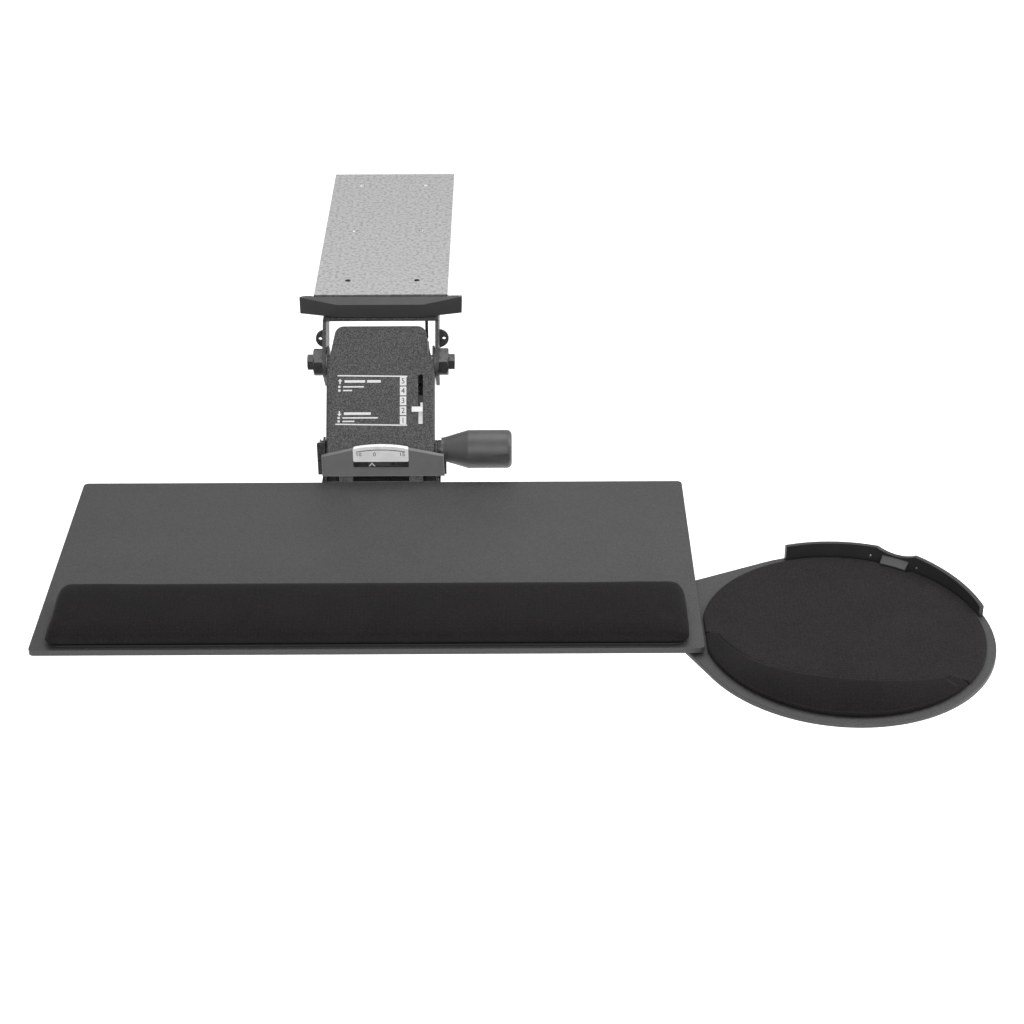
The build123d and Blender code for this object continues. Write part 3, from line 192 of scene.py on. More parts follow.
def grain(wire, size_mm, detail=2.0, stretch=None):
    place = positions(wire)
    if stretch:
        place = wire.node("Mapping", {}, {"Vector": place, "Scale": stretch})
    return wire.node("TexNoise", {}, {"Vector": place, "Scale": 1 / (size_mm * MM), "Detail": detail})


def sharpen(wire, mask, low, high):
    return wire.node("ValToRGB", {"stops": ((low, 0.0), (high, 1.0))}, {"Fac": mask})


def tint(wire, mask, first, second):
    return wire.node("Mix", {"data_type": "RGBA"}, {0: mask, 6: first, 7: second}, 2)


def grey(level, warmth=0.0):
    """A grey from its level on a screen, 0 to 255. warmth adds some red, and a little blue."""
    def linear(value):
        share = value / 255
        return share / 12.92 if share < 0.04045 else ((share + 0.055) / 1.055) ** 2.4
    return (linear(level * (1 + warmth)), linear(level), linear(level * (1 + warmth * 0.3)))


print("grey 75 is", [round(v, 3) for v in grey(75)])

# %% [markdown]
# ## One recipe for a finish
#
# Each finish gives its colour, its roughness and a height for the bump, as maths or as plain numbers. The
# bump's distance is the real height of the texture in millimetres. Sheen and other numbers that are the
# same all over are set on the shader's own sockets.

# %% The finish recipe
def finish(name, colour, roughness, height=None, height_mm=0.1, metal=0.0, **constants):
    """A material. colour, roughness and height are functions of a Wire, or plain values."""
    material = bpy.data.materials.new(name)
    material.use_nodes = True
    tree = material.node_tree
    shader = next(n for n in tree.nodes if n.type == "BSDF_PRINCIPLED")
    wire = Wire(tree)
    for socket, value in (("Base Color", colour), ("Roughness", roughness), ("Metallic", metal)):
        wire.join(shader.inputs[socket], value(wire) if callable(value) else value)
    if height:
        bump = wire.node("Bump", {}, {"Height": height(wire), "Strength": 1.0, "Distance": height_mm * MM})
        wire.join(shader.inputs["Normal"], bump)
    for socket, value in constants.items():
        shader.inputs[socket.replace("_", " ")].default_value = value
    return material


print("finish recipe ready")

# %% [markdown]
# ## Painted and moulded finishes
#
# The board and the platform are thick phenolic sheet with a fine stipple: dark grey with lighter flecks
# about a millimetre wide. The arm and brackets have a coarser hammered powder coat, whose flecks are
# lighter and whose surface is pebbled, smoother on the grains than between them.

# %% Board and powder coat
def stipple(wire):
    return grain(wire, size_mm=0.9, detail=3.0)


def board_colour(wire):
    flecks = sharpen(wire, stipple(wire), low=0.36, high=0.64)
    clouds = grain(wire, size_mm=40.0)
    return tint(wire, flecks * 0.75 + clouds * 0.25, grey(44), grey(70))


board_laminate = finish("board_laminate", board_colour, lambda w: stipple(w) * 0.2 + 0.42, stipple,
                        height_mm=0.06)


def coat(name, dark, light, bump_mm):
    def pebbles(wire):
        return grain(wire, size_mm=1.15, detail=2.5)

    def colour(wire):
        return tint(wire, sharpen(wire, pebbles(wire), low=0.40, high=0.66), grey(dark), grey(light))
    return finish(name, colour, lambda w: 0.60 - pebbles(w) * 0.25, pebbles, bump_mm)


arm_coat = coat("arm_coat", dark=40, light=88, bump_mm=0.12)
bracket_coat = coat("bracket_coat", dark=38, light=76, bump_mm=0.10)
print("painted finishes:", board_laminate.name, arm_coat.name, bracket_coat.name)

# %% [markdown]
# ## Moulded plastic
#
# The covers, the knob and the nose of the track are plain moulded plastic. A mould leaves a very fine grain,
# and handling leaves wide soft patches that are a little lighter or shinier. So the level of grey varies by
# a few hundredths over a patch, and the roughness with it.

# %% Moulded plastic
def moulded(name, level, roughness, size_mm=0.35, bump_mm=0.012, warmth=0.0):
    def colour(wire):
        handled = sharpen(wire, grain(wire, size_mm=14.0, detail=4.0), low=0.35, high=0.75)
        return tint(wire, handled, grey(level * 0.96, warmth), grey(level * 1.05, warmth))
    return finish(name, colour, lambda w: grain(w, size_mm=9.0, detail=3.0) * 0.14 + (roughness - 0.07),
                  lambda w: grain(w, size_mm), bump_mm)


plastics = {
    "cap_plastic": moulded("cap_plastic", 42, 0.42),
    "cover_plastic": moulded("cover_plastic", 116, 0.50),
    "knob_plastic": moulded("knob_plastic", 76, 0.42, size_mm=0.5),
    "fence_plastic": moulded("fence_plastic", 46, 0.42),
    "base_plastic": moulded("base_plastic", 30, 0.55),
    # black_slider also colours the pointer's plate behind the arm's slot. The plate is the pointer's own, and
    # its black partly paints the shade inside the slot.
    "black_slider": moulded("black_slider", 40, 0.5),
    "grey_slider": moulded("grey_slider", 72, 0.5),
    "saddle_plastic": moulded("saddle_plastic", 50, 0.38),
    "stop_rubber": moulded("stop_rubber", 24, 0.8, size_mm=0.6, bump_mm=0.03),
    "nylon": moulded("nylon", 205, 0.5, warmth=0.02),
    "gauge_print": moulded("gauge_print", 248, 0.38),
    "white_mark": moulded("white_mark", 238, 0.45),
}
print("plastics:", len(plastics))

# %% [markdown]
# ## Metals
#
# Turned and plated parts show the marks of how they were made: fine rings round a turned part, and small
# dull spots in the plating. The rings here are a noise that is squeezed along the part's axis, X, so that
# its grains become thin lines round the part.

# %% Metals
TURNED = (40, 1, 1)


def metal(name, level, roughness, warmth=0.0):
    def colour(wire):
        spots = sharpen(wire, grain(wire, size_mm=3.0, detail=4.0), low=0.45, high=0.7)
        return tint(wire, spots, grey(level, warmth), grey(level * 0.8, warmth))
    return finish(name, colour, lambda w: grain(w, size_mm=4.0, detail=3.0) * 0.2 + (roughness - 0.1),
                  lambda w: grain(w, size_mm=6.0, stretch=TURNED), height_mm=0.01, metal=1.0)


metals = {
    "zinc_steel": metal("zinc_steel", 190, 0.35),
    "track_zinc": metal("track_zinc", 235, 0.32),
    "black_oxide": metal("black_oxide", 88, 0.42),
    "black_screws": metal("black_screws", 80, 0.38),
    "spring_steel": metal("spring_steel", 150, 0.30),
    "brass_insert": metal("brass_insert", 190, 0.30, warmth=0.22),
}
print("metals:", sorted(metals))

# %% [markdown]
# ## Fabric
#
# The palm rests and the mouse pad are foam under a thin knitted cloth, nearly black and slightly warm, with
# tiny lighter threads. The knit is two sets of waves that cross, about three millimetres apart, broken up by
# noise so that it doesn't look printed. A little sheen stands for the fuzz that catches light at the edges.
# A wave texture has a band every 0.314 of its own units, which gives the scale for a row of a real size.

# %% Knitted cloth
KNIT_ROW, WAVE_BAND = 3.14, 0.314


def knit(wire):
    sockets = {"Vector": positions(wire), "Scale": WAVE_BAND / (KNIT_ROW * MM), "Distortion": 1.2,
               "Detail": 2.0}
    rows = wire.node("TexWave", {"bands_direction": "X"}, sockets, "Fac")
    columns = wire.node("TexWave", {"bands_direction": "Y"}, sockets, "Fac")
    return rows * 0.5 + columns * 0.5


def cloth(name, dark, light, warmth=0.07):
    def threads(wire):
        return grain(wire, size_mm=0.8, detail=3.0)

    def colour(wire):
        fuzz = sharpen(wire, threads(wire), low=0.42, high=0.70)
        worn = grain(wire, size_mm=30.0, detail=3.0)
        mask = fuzz * 0.6 + worn * 0.3 + knit(wire) * 0.1
        return tint(wire, mask, grey(dark, warmth), grey(light, warmth))
    return finish(name, colour, lambda w: grain(w, size_mm=1.0) * 0.1 + 0.82,
                  lambda w: knit(w) * 0.5 + threads(w) * 0.5, height_mm=0.10,
                  Sheen_Weight=0.03, Sheen_Roughness=0.4, Specular_IOR_Level=0.15)


# palm_fabric is a darker copy of pad_fabric's cloth. The mouse palm rest is cut from the pad's cloth, so on
# it the darker colour is painted shade.
palm_fabric = cloth("palm_fabric", dark=14, light=36)
pad_fabric = cloth("pad_fabric", dark=21, light=47)
print("cloth finishes:", palm_fabric.name, pad_fabric.name)

# %% [markdown]
# ## Dress the CAD parts
#
# The record says which finish each CAD part has, in its material slots. A part's object has one material
# slot here, so giving it a finish is one assignment, and no mesh is touched.

# %% Give each CAD part its finish
finishes = {**plastics, **metals, "board_laminate": board_laminate, "arm_coat": arm_coat,
            "bracket_coat": bracket_coat, "palm_fabric": palm_fabric, "pad_fabric": pad_fabric}
for part in nodes.values():
    for slot in part.material_slots:
        slot.material = finishes[slot.material.name.split(".")[0]]
print("dressed", len(nodes), "CAD parts in", len(finishes), "finishes")

# %% [markdown]
# ## Making a soft piece
#
# A padded piece starts as rows of points that are joined by faces. Each row is a ring: a level of a pad from
# its foot to its middle, or a cross section of a long cushion. `piece_from_rings` joins each ring to the next
# and closes the first and the last, so the piece is one closed skin.

# %% Mesh helper
def smooth(mesh):
    mesh.polygons.foreach_set("use_smooth", [True] * len(mesh.polygons))


def piece_from_rings(name, rings, body, material):
    """A closed skin over rings of as many points each."""
    count = len(rings[0])
    points = [point for ring in rings for point in ring]
    faces = []
    for i in range(len(rings) - 1):
        for j in range(count):
            k = (j + 1) % count
            faces.append((i * count + j, i * count + k, (i + 1) * count + k, (i + 1) * count + j))
    faces.append(tuple(reversed(range(count))))
    faces.append(tuple(range((len(rings) - 1) * count, len(rings) * count)))
    mesh = bpy.data.meshes.new(name)
    mesh.from_pydata(points, [], faces)
    smooth(mesh)
    mesh.materials.append(material)
    piece = bpy.data.objects.new(name, mesh)
    scene.collection.objects.link(piece)
    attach(piece, body)
    return piece


def subdivide(piece):
    finer = piece.modifiers.new("finer", "SUBSURF")
    finer.levels = finer.render_levels = 1


print("mesh helper ready")

# %% [markdown]
# ## Filling a pad with air
#
# Foam under cloth is never quite flat: it swells where it is free and pulls in at its foot. A short cloth
# simulation with air pressure gives that. The piece is first rebuilt in even squares, its foot is pinned, air
# pushes for twenty frames without gravity, and no point may move further than a limit, so the piece stays its
# own size.

# %% Swell helper
AIR_FRAMES, AIR_PRESSURE = 20, 4.0


def settle(piece):
    """Keeps what the modifiers make of a piece as its mesh, and takes them off."""
    shown = piece.evaluated_get(bpy.context.evaluated_depsgraph_get())
    mesh = bpy.data.meshes.new_from_object(shown)
    piece.modifiers.clear()
    piece.data = mesh
    smooth(mesh)


def swell(piece, voxel_mm, limit_mm, foot):
    even = piece.modifiers.new("even squares", "REMESH")
    even.mode, even.voxel_size = "VOXEL", voxel_mm * MM
    settle(piece)
    start = [v.co.copy() for v in piece.data.vertices]
    group = piece.vertex_groups.new(name="foot")
    group.add([i for i, v in enumerate(start) if v.z < foot], 1.0, "REPLACE")
    air = piece.modifiers.new("air", "CLOTH").settings
    air.use_pressure, air.uniform_pressure_force = True, AIR_PRESSURE
    air.vertex_group_mass = "foot"
    air.effector_weights.gravity = 0
    for number in range(1, AIR_FRAMES + 1):
        scene.frame_set(number)
    settle(piece)
    for v, was in zip(piece.data.vertices, start):
        step = v.co - was
        if step.length > limit_mm * MM:
            v.co = was + step.normalized() * limit_mm * MM
    scene.frame_set(1)
    subdivide(piece)
    print(piece.name, len(piece.data.vertices), "points")


print("swell helper ready")

# %% [markdown]
# ## Palm rest
#
# A long crowned cushion lies along the board's front edge. Its crest is behind its middle, its front falls
# away to a low nose for the wrists, and its back is steep. It is a row of cross sections from left to right.
# Near each end the sections get narrower, for the rounded corners, and lower, for the rolled end.

# %% Palm rest
# The cross section from the front foot over the crest to the back foot, as shares of its depth and height.
PALM_SHARES = ((0.022, 0.0), (0.004, 0.18), (0.0, 0.36), (0.012, 0.50), (0.05, 0.63), (0.12, 0.74),
               (0.24, 0.855), (0.38, 0.93), (0.52, 0.978), (0.66, 1.0), (0.78, 0.995), (0.88, 0.95),
               (0.95, 0.84), (0.988, 0.66), (1.0, 0.45), (0.995, 0.2), (0.978, 0.0))
PALM_CORNER, PALM_ROLL = 12 * MM, 9 * MM
FRONT_CORNER_SHARE, END_HEIGHT_SHARE = 0.45, 0.18


def quarter(share):
    """How high a quarter circle is at a share of the way in from its foot."""
    return math.sqrt(max(1 - (1 - min(max(share, 0), 1)) ** 2, 0))


def palm_section(x, low, high):
    from_end = min(x - low.x, high.x - x)
    inset = PALM_CORNER * (1 - quarter(from_end / PALM_CORNER))
    rise = END_HEIGHT_SHARE + (1 - END_HEIGHT_SHARE) * quarter(from_end / PALM_ROLL)
    front, back = low.y + inset * FRONT_CORNER_SHARE, high.y - inset
    height = (high.z - low.z) * rise
    return [Vector((x, front + (back - front) * a, low.z + height * b)) for a, b in PALM_SHARES]


low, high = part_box("palm_rest")
END_STEPS, LONG_STEPS = [0, 0.4, 1.2, 2.4, 4, 6, 8.5, 12, 16], 60
end = END_STEPS[-1] * MM
steps = [low.x + v * MM for v in END_STEPS]
steps += [low.x + end + (high.x - low.x - 2 * end) * i / LONG_STEPS for i in range(1, LONG_STEPS)]
steps += [high.x - v * MM for v in reversed(END_STEPS)]
palm_rest = piece_from_rings("palm_rest_cushion", [palm_section(x, low, high) for x in steps],
                             "tray_body", palm_fabric)
swell(palm_rest, voxel_mm=4.0, limit_mm=0.8, foot=low.z + 2.5 * MM)
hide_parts("palm_rest")

# %% [markdown]
# ## The mouse pad's outline
#
# A thin round foam pad covers the platform, cut straight on the side of the board. Its outline is a distance
# from its middle at each angle, which is the nearest of the circle, the straight cut, the front cushion's
# inner curve and the cord saddle's notch. The helpers give those distances, and the cushion needs them too.

# %% Outline of the pad and of its front cushion
PAD_FROM_BOARD, INNER_CIRCLE_FROM_BOARD = (361.5, -100.0), (375.0, -57.5)
INNER_RADIUS, SEAM = 119 * MM, 0.15 * MM
REST_START, REST_END = 181.0, 320.0
SADDLE_START, SADDLE_END, SADDLE_INNER = 53.0, 67.0, 103.6 * MM
pad_low, pad_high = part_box("mouse_pad")


def from_board(place_mm):
    return Vector((board_x + place_mm[0] * MM, board_y + place_mm[1] * MM, pad_low.z))


pad_middle, rest_inner = from_board(PAD_FROM_BOARD), from_board(INNER_CIRCLE_FROM_BOARD)
pad_radius = pad_high.x - pad_middle.x


def way_at(angle):
    return Vector((math.cos(angle), math.sin(angle), 0))


def to_inner_circle(angle, radius):
    """How far the front cushion's inner circle is from the pad's middle, at an angle."""
    offset = pad_middle - rest_inner
    half = offset.dot(way_at(angle))
    return -half + math.sqrt(half * half - offset.length_squared + radius * radius)


def rim_reach(angle):
    """The pad's outline without its front cushion: a circle, cut straight beside the board."""
    if math.cos(angle) < 0:
        return min(pad_radius, (pad_low.x - pad_middle.x) / math.cos(angle))
    return pad_radius


def pad_reach(degrees):
    angle = math.radians(degrees)
    if REST_START < degrees < REST_END:
        return min(rim_reach(angle), to_inner_circle(angle, INNER_RADIUS - SEAM))
    if SADDLE_START < degrees < SADDLE_END:
        return min(rim_reach(angle), SADDLE_INNER)
    return rim_reach(angle)


print("mouse pad radius", round(pad_radius / MM, 1), "mm")

# %% [markdown]
# ## Mouse pad
#
# The pad is cut foam with a softly rolled edge. A cloth simulation would melt an edge as thin as this one, so
# it is built directly: rings at growing insets climb its side and roll over, and shrinking rings cover the
# top. Three readings of the outline are averaged at each point, which rounds its corners a little.

# %% Mouse pad
# How far in from the foam's side, and how high, in millimetres.
EDGE_ROLL = ((0.5, 0.1), (0.1, 0.6), (0.0, 1.6), (0.0, 2.7), (0.25, 3.4), (0.8, 3.8), (1.8, 3.98))
PAD_HEIGHT = 4.0
TOP_SHARES = (0.97, 0.9, 0.8, 0.65, 0.5, 0.35, 0.2, 0.05)
PAD_STEP, CORNER_ANGLES = 0.5, (-0.7, 0, 0.7)


def pad_ring(inset_mm, height_mm, share=1.0):
    ring = []
    for i in range(round(360 / PAD_STEP)):
        around = [pad_reach((i * PAD_STEP + k) % 360) for k in CORNER_ANGLES]
        reach = (sum(around) / len(around) - inset_mm * MM) * share
        way = way_at(math.radians(i * PAD_STEP))
        ring.append(pad_middle + way * reach + Vector((0, 0, height_mm * MM)))
    return ring


rings = [pad_ring(inset, height) for inset, height in EDGE_ROLL]
rings += [pad_ring(EDGE_ROLL[-1][0], PAD_HEIGHT, share) for share in TOP_SHARES]
mouse_pad = piece_from_rings("mouse_pad_foam", rings, "platform_body", pad_fabric)
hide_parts("mouse_pad")
print("mouse pad", len(mouse_pad.data.vertices), "points")

# %% [markdown]
# ## Mouse palm rest
#
# A curved cushion follows the front of the pad. It is a sweep: at each angle round the platform a cross
# section spans from the inner circle to the pad's rim. Its rim is rolled like the pad's. Above the pad's
# height a bump is added, with its ridge near the inner curve. The ridge is a wide arc that drops at the
# right, and the bump's height falls to nothing at both ends, so the ends melt into the pad.

# %% Mouse palm rest
RIDGE_HEIGHT, RIDGE_RADIUS, RIDGE_X = 15.0, 480.0, 355.0
RIDGE_RIGHT, RIDGE_FALL = 437.0, 33.0
LEAST_WIDTH, FULL_RIDGE_WIDTH = 3 * MM, 14 * MM
# The inner side, as heights in millimetres, then the bump as shares of its width and height.
INNER_SIDE = (0.1, 2.0, 3.8)
BUMP_SHARES = ((0.02, 0.30), (0.05, 0.62), (0.09, 0.85), (0.14, 0.97), (0.20, 1.0), (0.30, 0.98),
               (0.42, 0.915), (0.54, 0.82), (0.66, 0.69), (0.77, 0.53), (0.86, 0.36), (0.93, 0.20),
               (0.975, 0.08), (1.0, 0.0))
REST_SECTIONS = 151


def bump_height(x):
    """How far the ridge stands above the pad, in millimetres, from the place across."""
    x_mm = (x - board_x) / MM
    arc = RIDGE_HEIGHT - RIDGE_RADIUS + math.sqrt(RIDGE_RADIUS ** 2 - (x_mm - RIDGE_X) ** 2)
    fall = (RIDGE_HEIGHT - PAD_HEIGHT) * quarter((RIDGE_RIGHT - x_mm) / RIDGE_FALL)
    return max(min(arc - PAD_HEIGHT, fall), 0)


def rest_section(degrees):
    angle = math.radians(degrees)
    outer = rim_reach(angle)
    inner = min(to_inner_circle(angle, INNER_RADIUS), outer - LEAST_WIDTH)
    width = outer - inner - EDGE_ROLL[-1][0] * MM
    bump = bump_height((pad_middle + way_at(angle) * outer).x)
    bump *= min(1.0, (outer - inner) / FULL_RIDGE_WIDTH)
    points = [(inner, height) for height in INNER_SIDE]
    points += [(inner + width * a, PAD_HEIGHT + bump * b) for a, b in BUMP_SHARES]
    points += [(outer - inset * MM, height) for inset, height in reversed(EDGE_ROLL)]
    return [pad_middle + way_at(angle) * reach + Vector((0, 0, height * MM)) for reach, height in points]


step = (REST_END - REST_START) / (REST_SECTIONS - 1)
sections = [rest_section(REST_START + step * i) for i in range(REST_SECTIONS)]
# The cushion is the pad's own cloth but takes the darker palm_fabric. Its darker colour is painted shade,
# standing for the shade on its front slope.
rest = piece_from_rings("mouse_rest_cushion", sections, "platform_body", palm_fabric)
subdivide(rest)
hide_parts("mouse_palm_rest")
ridge = max(point.z for section in sections for point in section) - pad_low.z
print("mouse palm rest:", len(sections), "sections, ridge", round(ridge / MM, 1), "mm high")

# %% [markdown]
# ## Springs
#
# Two torsion springs on the upper pivot carry the tray's weight. CAD keeps their space as plain tubes, so
# each is replaced with a real coil: a curve that winds round the pivot, with a round bevel as its wire. The
# right spring's leg shows in the gap above the arm. So that spring rides on the arm, and its leg stays clear
# of the arm's face when the arm is lifted.

# %% Springs
WIRE_RADIUS = 1.2 * MM
TURNS, POINTS_PER_TURN, LEG_POINTS = 9, 24, 5
LEG_LEAN = 2.0 * MM


def coil_points(first, last, radius, leg):
    points = []
    for i in range(TURNS * POINTS_PER_TURN + 1):
        angle = 2 * math.pi * i / POINTS_PER_TURN
        x = first + (last - first) * i / (TURNS * POINTS_PER_TURN)
        round_pivot = Vector((x, -radius * math.cos(angle), radius * math.sin(angle)))
        points.append(upper_pivot + round_pivot)
    leg_way = Vector((0, LEG_LEAN, leg))
    return points + [points[-1] + leg_way * k / LEG_POINTS for k in range(1, LEG_POINTS + 1)]


def make_spring(node, side, leg, body):
    low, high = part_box(node)
    start, end = (low.x, high.x) if side > 0 else (high.x, low.x)
    points = coil_points(start + side * WIRE_RADIUS, end - side * WIRE_RADIUS,
                         (high.z - low.z) / 2 - WIRE_RADIUS, leg)
    curve = bpy.data.curves.new(node + "_coil", "CURVE")
    curve.dimensions, curve.bevel_depth = "3D", WIRE_RADIUS
    curve.bevel_resolution, curve.resolution_u = 3, 2
    line = curve.splines.new("NURBS")
    line.points.add(len(points) - 1)
    for place, point in zip(line.points, points):
        place.co = (*point, 1)
    line.order_u, line.use_endpoint_u, curve.use_fill_caps = 3, True, True
    curve.materials.append(metals["spring_steel"])
    coil = bpy.data.objects.new(node + "_coil", curve)
    scene.collection.objects.link(coil)
    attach(coil, body)
    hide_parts(node)
    return coil


left_coil = make_spring("spring_left", side=-1, leg=7.5 * MM, body="bracket_body")
right_coil = make_spring("spring_right", side=1, leg=22.0 * MM, body="arm_body")
print("springs:", left_coil.name, right_coil.name)

# %% [markdown]
# ## Printed marks
#
# The arm's face carries a height scale in white paint, and the gauge a tilt scale in dark paint. A print is a
# film with no thickness to speak of, so each mark is a thin sheet laid a tenth of a millimetre above its
# face. Only plain marks are used: rules, numbers, arrows and bars.

# %% Helpers for prints
def print_on(marks, body):
    scene.collection.objects.link(marks)
    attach(marks, body)
    return marks


def sheet_marks(name, outlines, place, body, material):
    """Flat marks given by their corners (across, along) in millimetres. place turns them into points."""
    points, faces = [], []
    for corners in outlines:
        faces.append(tuple(range(len(points), len(points) + len(corners))))
        points += [place(*corner) for corner in corners]
    mesh = bpy.data.meshes.new(name)
    mesh.from_pydata(points, [], faces)
    mesh.materials.append(material)
    return print_on(bpy.data.objects.new(name, mesh), body)


def number(text, size_mm, place, right, up, body, material, slot):
    """A printed number, centred on a place."""
    name = "number_" + text
    data = bpy.data.curves.new(name, "FONT")
    data.body, data.size = text, size_mm * MM
    data.align_x, data.align_y = "CENTER", "CENTER"
    data.materials.append(material)
    label = bpy.data.objects.new(name, data)
    turn = Matrix((right, up, right.cross(up))).transposed().to_4x4()
    label.matrix_world = Matrix.Translation(place) @ turn
    return print_on(label, body)


def bar(left, right, low, high):
    return ((left, high), (right, high), (right, low), (left, low))


print("print helpers ready")

# %% [markdown]
# ## Paint
#
# Screen printed paint is never quite even: where it is thin the ground shows through a little. A fine noise
# makes the paint a seventh darker in such spots, and gives its surface a slight grain.

# %% Paint for the marks
def paint(name, level):
    def colour(wire):
        thin = sharpen(wire, grain(wire, size_mm=0.7, detail=3.0), low=0.25, high=0.55)
        return tint(wire, thin, grey(level * 0.86), grey(level))
    return finish(name, colour, 0.5, lambda w: grain(w, size_mm=0.9), height_mm=0.03)


white_paint = paint("white_paint", 225)
dark_paint = paint("dark_paint", 40)
print("paints:", white_paint.name, dark_paint.name)

# %% [markdown]
# ## The height scale
#
# Two rules frame the print on the arm, and five numbered boxes stand beside the slot where the pointer
# slides. An arrow up and an arrow down, each with a few bars and dots, stand at the left. All places are
# in millimetres: across from the arm's middle, and down the arm from the upper pivot.

# %% Marks on the arm
ARM_FACE = 12 * MM
ARROW, HALF_TITLE, HALF_LINE = 4.6, 1.1, 0.6
DOT, HALF_DOT, ARROW_IN, LINE_IN = 2.0, 0.9, 1.6, 4.2


def on_arm(x, along, lift_mm=0.12):
    return upper_pivot + across * x * MM + arm_down * along * MM + arm_out * (ARM_FACE + lift_mm * MM)


def arrow(x, along, way):
    """An arrow up the arm where way is 1, and down it where way is -1."""
    tip, foot = along - way * ARROW / 2, along + way * ARROW / 2
    neck, half, stem = along - way * ARROW * 0.05, ARROW * 0.42, ARROW * 0.13
    head = ((x - half, neck), (x, tip), (x + half, neck))
    return [head if way > 0 else tuple(reversed(head)),
            bar(x - stem, x + stem, min(neck, foot), max(neck, foot))]


def block(left, along, way, titles, lines):
    """An arrow with title bars beside it, then a dot and a thinner line for each of lines."""
    made = arrow(left + ARROW_IN, along, way)
    made += [bar(start, end, along - HALF_TITLE, along + HALF_TITLE) for start, end in titles]
    for line_along, end in lines:
        made.append(bar(left, left + DOT, line_along - HALF_DOT, line_along + HALF_DOT))
        made.append(bar(left + LINE_IN, end, line_along - HALF_LINE, line_along + HALF_LINE))
    return made


rules = [((-36.6, 15.1), (23.0, 15.9), (23.0, 14.8), (-36.6, 14.0)),
         ((-38.2, 57.3), (23.0, 58.4), (23.0, 57.3), (-38.2, 56.2))]
up_block = block(-36.0, 19.6, 1, titles=((-30.6, -13.0), (-11.4, 0.4)), lines=((24.3, -14.0), (27.5, -24.0)))
down_block = block(-36.4, 47.6, -1, titles=((-31.0, -8.0),), lines=((51.3, -2.0), (54.3, -22.0)))
print("rules:", len(rules), "arrows and bars:", len(up_block) + len(down_block))

# %% Boxes and numbers on the arm
BOX_LEFT, BOX_RIGHT, BOX_START, BOX_PITCH, HALF_GAP = 16.7, 22.2, 15.2, 8.58, 0.45
NUMBER_X, ARM_NUMBER_SIZE, NUMBERS = 19.4, 6.6, "54321"
box_starts = [BOX_START + BOX_PITCH * i for i in range(len(NUMBERS))]
boxes = [bar(BOX_LEFT, BOX_RIGHT, start + HALF_GAP, start + BOX_PITCH - HALF_GAP) for start in box_starts]
arm_print = sheet_marks("arm_print", rules + boxes + up_block + down_block, on_arm, "arm_body", white_paint)
for text, start in zip(NUMBERS, box_starts):
    place = on_arm(NUMBER_X, start + BOX_PITCH / 2, lift_mm=0.2)
    number(text, ARM_NUMBER_SIZE, place, across, -arm_down, "arm_body", dark_paint, "black_slider")
print("arm print:", len(arm_print.data.polygons), "marks")

# %% [markdown]
# ## The tilt scale
#
# The light plate above the window is the tilt gauge. A thin line follows its bowed top edge, and three
# numbers give the tray's tilt in degrees: ten down, level, and fifteen up. The pointer below moves as the
# knob is turned.

# %% Print on the gauge
gauge_low, gauge_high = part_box("gauge_plate")
GAUGE_TOP = (gauge_high.z - lower_pivot.z) / MM
GAUGE_MIDDLE, GAUGE_HALF, GAUGE_BOW = 0.9, 23.5, 2.5
LINE_START, LINE_LENGTH, LINE_PIECES, LINE_DROP, LINE_WIDTH = -19.8, 41.4, 24, 3.0, 0.7
NUMBER_Z, GAUGE_NUMBER_SIZE = 5.4, 5.0


def on_gauge(x, z, lift_mm=0.08):
    return Vector((x * MM, gauge_low.y - lift_mm * MM, lower_pivot.z + z * MM))


def bow(x, drop):
    """The height of a line under the plate's top edge, which rises in the middle."""
    return GAUGE_TOP - GAUGE_BOW * ((x - GAUGE_MIDDLE) / GAUGE_HALF) ** 2 - drop


xs = [LINE_START + LINE_LENGTH * i / LINE_PIECES for i in range(LINE_PIECES + 1)]
under = LINE_DROP + LINE_WIDTH
line = [((a, bow(a, under)), (b, bow(b, under)), (b, bow(b, LINE_DROP)), (a, bow(a, LINE_DROP)))
        for a, b in zip(xs, xs[1:])]
gauge_line = sheet_marks("gauge_lines", line, on_gauge, "head_body", dark_paint)
for text, x in (("10", -17.8), ("0", -4.4), ("15", 19.0)):
    number(text, GAUGE_NUMBER_SIZE, on_gauge(x, NUMBER_Z), across, Vector((0, 0, 1)), "head_body",
           dark_paint, "black_slider")
print("gauge line:", len(gauge_line.data.polygons), "pieces")

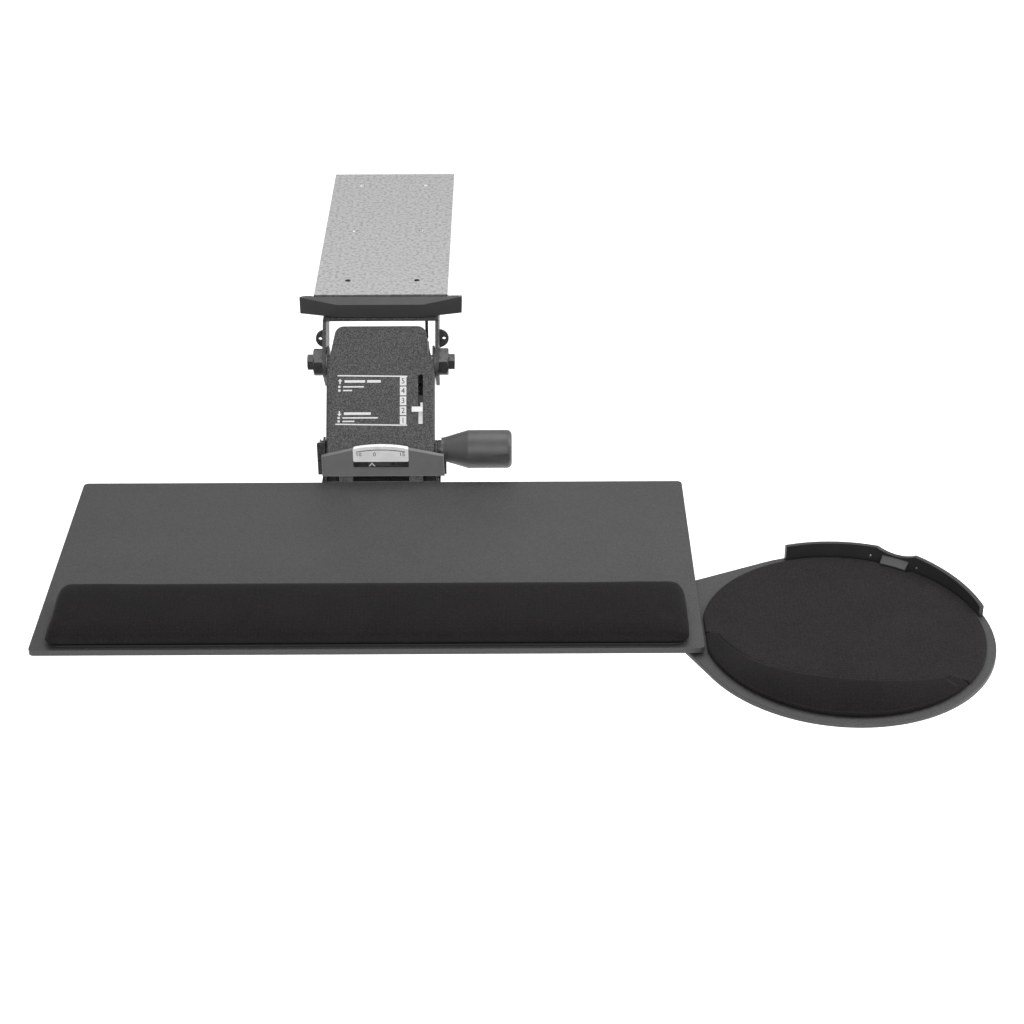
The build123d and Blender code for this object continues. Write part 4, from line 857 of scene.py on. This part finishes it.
# %% [markdown]
# ## Floor and light
#
# A catalogue picture has a white floor and very soft light, so that a dark product reads by its own greys. A
# pale plane that glows a little lies well under the lowest point. A wide panel above and behind brightens
# the tops, a second one on the right gives the board its lighter side, and a third in front keeps the faces
# toward the camera readable. An even pale sky fills the shadows.

# %% Floor
FLOOR_DROP, FLOOR_HALF = 250 * MM, 9.0


def make_floor(height):
    corners = [(-1, -1), (1, -1), (1, 1), (-1, 1)]
    mesh = bpy.data.meshes.new("floor")
    mesh.from_pydata([(FLOOR_HALF * x, FLOOR_HALF * y, height) for x, y in corners], [], [(0, 1, 2, 3)])
    paper = finish("floor_paper", lambda w: tint(w, grain(w, size_mm=60.0), grey(246), grey(248)), 0.9,
                   Emission_Color=(1, 1, 1, 1), Emission_Strength=0.42)
    mesh.materials.append(paper)
    floor = bpy.data.objects.new("floor", mesh)
    scene.collection.objects.link(floor)
    floor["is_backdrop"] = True
    return floor


floor = make_floor(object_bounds()[0].z - FLOOR_DROP)
print("floor at", round(floor.data.vertices[0].co.z / MM, 1), "mm")

# %% Lights
LIT_PLACE = Vector((0.1, -0.35, -0.1))
SKY_STRENGTH = 0.55


def panel(name, place, size, power):
    data = bpy.data.lights.new(name, "AREA")
    data.shape, data.size, data.energy = "SQUARE", size, power
    light = bpy.data.objects.new(name, data)
    light.location = place
    light.rotation_euler = (LIT_PLACE - Vector(place)).to_track_quat("-Z", "Y").to_euler()
    scene.collection.objects.link(light)
    return light


world = bpy.data.worlds.new("studio")
world.use_nodes = True
sky = world.node_tree.nodes["Background"].inputs
sky["Color"].default_value, sky["Strength"].default_value = (1, 1, 1, 1), SKY_STRENGTH
scene.world = world
lights = [panel("above", (0.2, 0.3, 1.7), size=1.6, power=18),
          panel("right", (1.9, 0.1, 1.0), size=1.2, power=22),
          panel("front", (0.1, -2.6, 1.2), size=1.8, power=28)]
scene.view_settings.view_transform = "Standard"
print("lights:", [light.name for light in lights])

# %% [markdown]
# ## Finish
#
# The last step measures the box of the dressed model.

# %% Measure the dressed model's box
low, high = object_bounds()
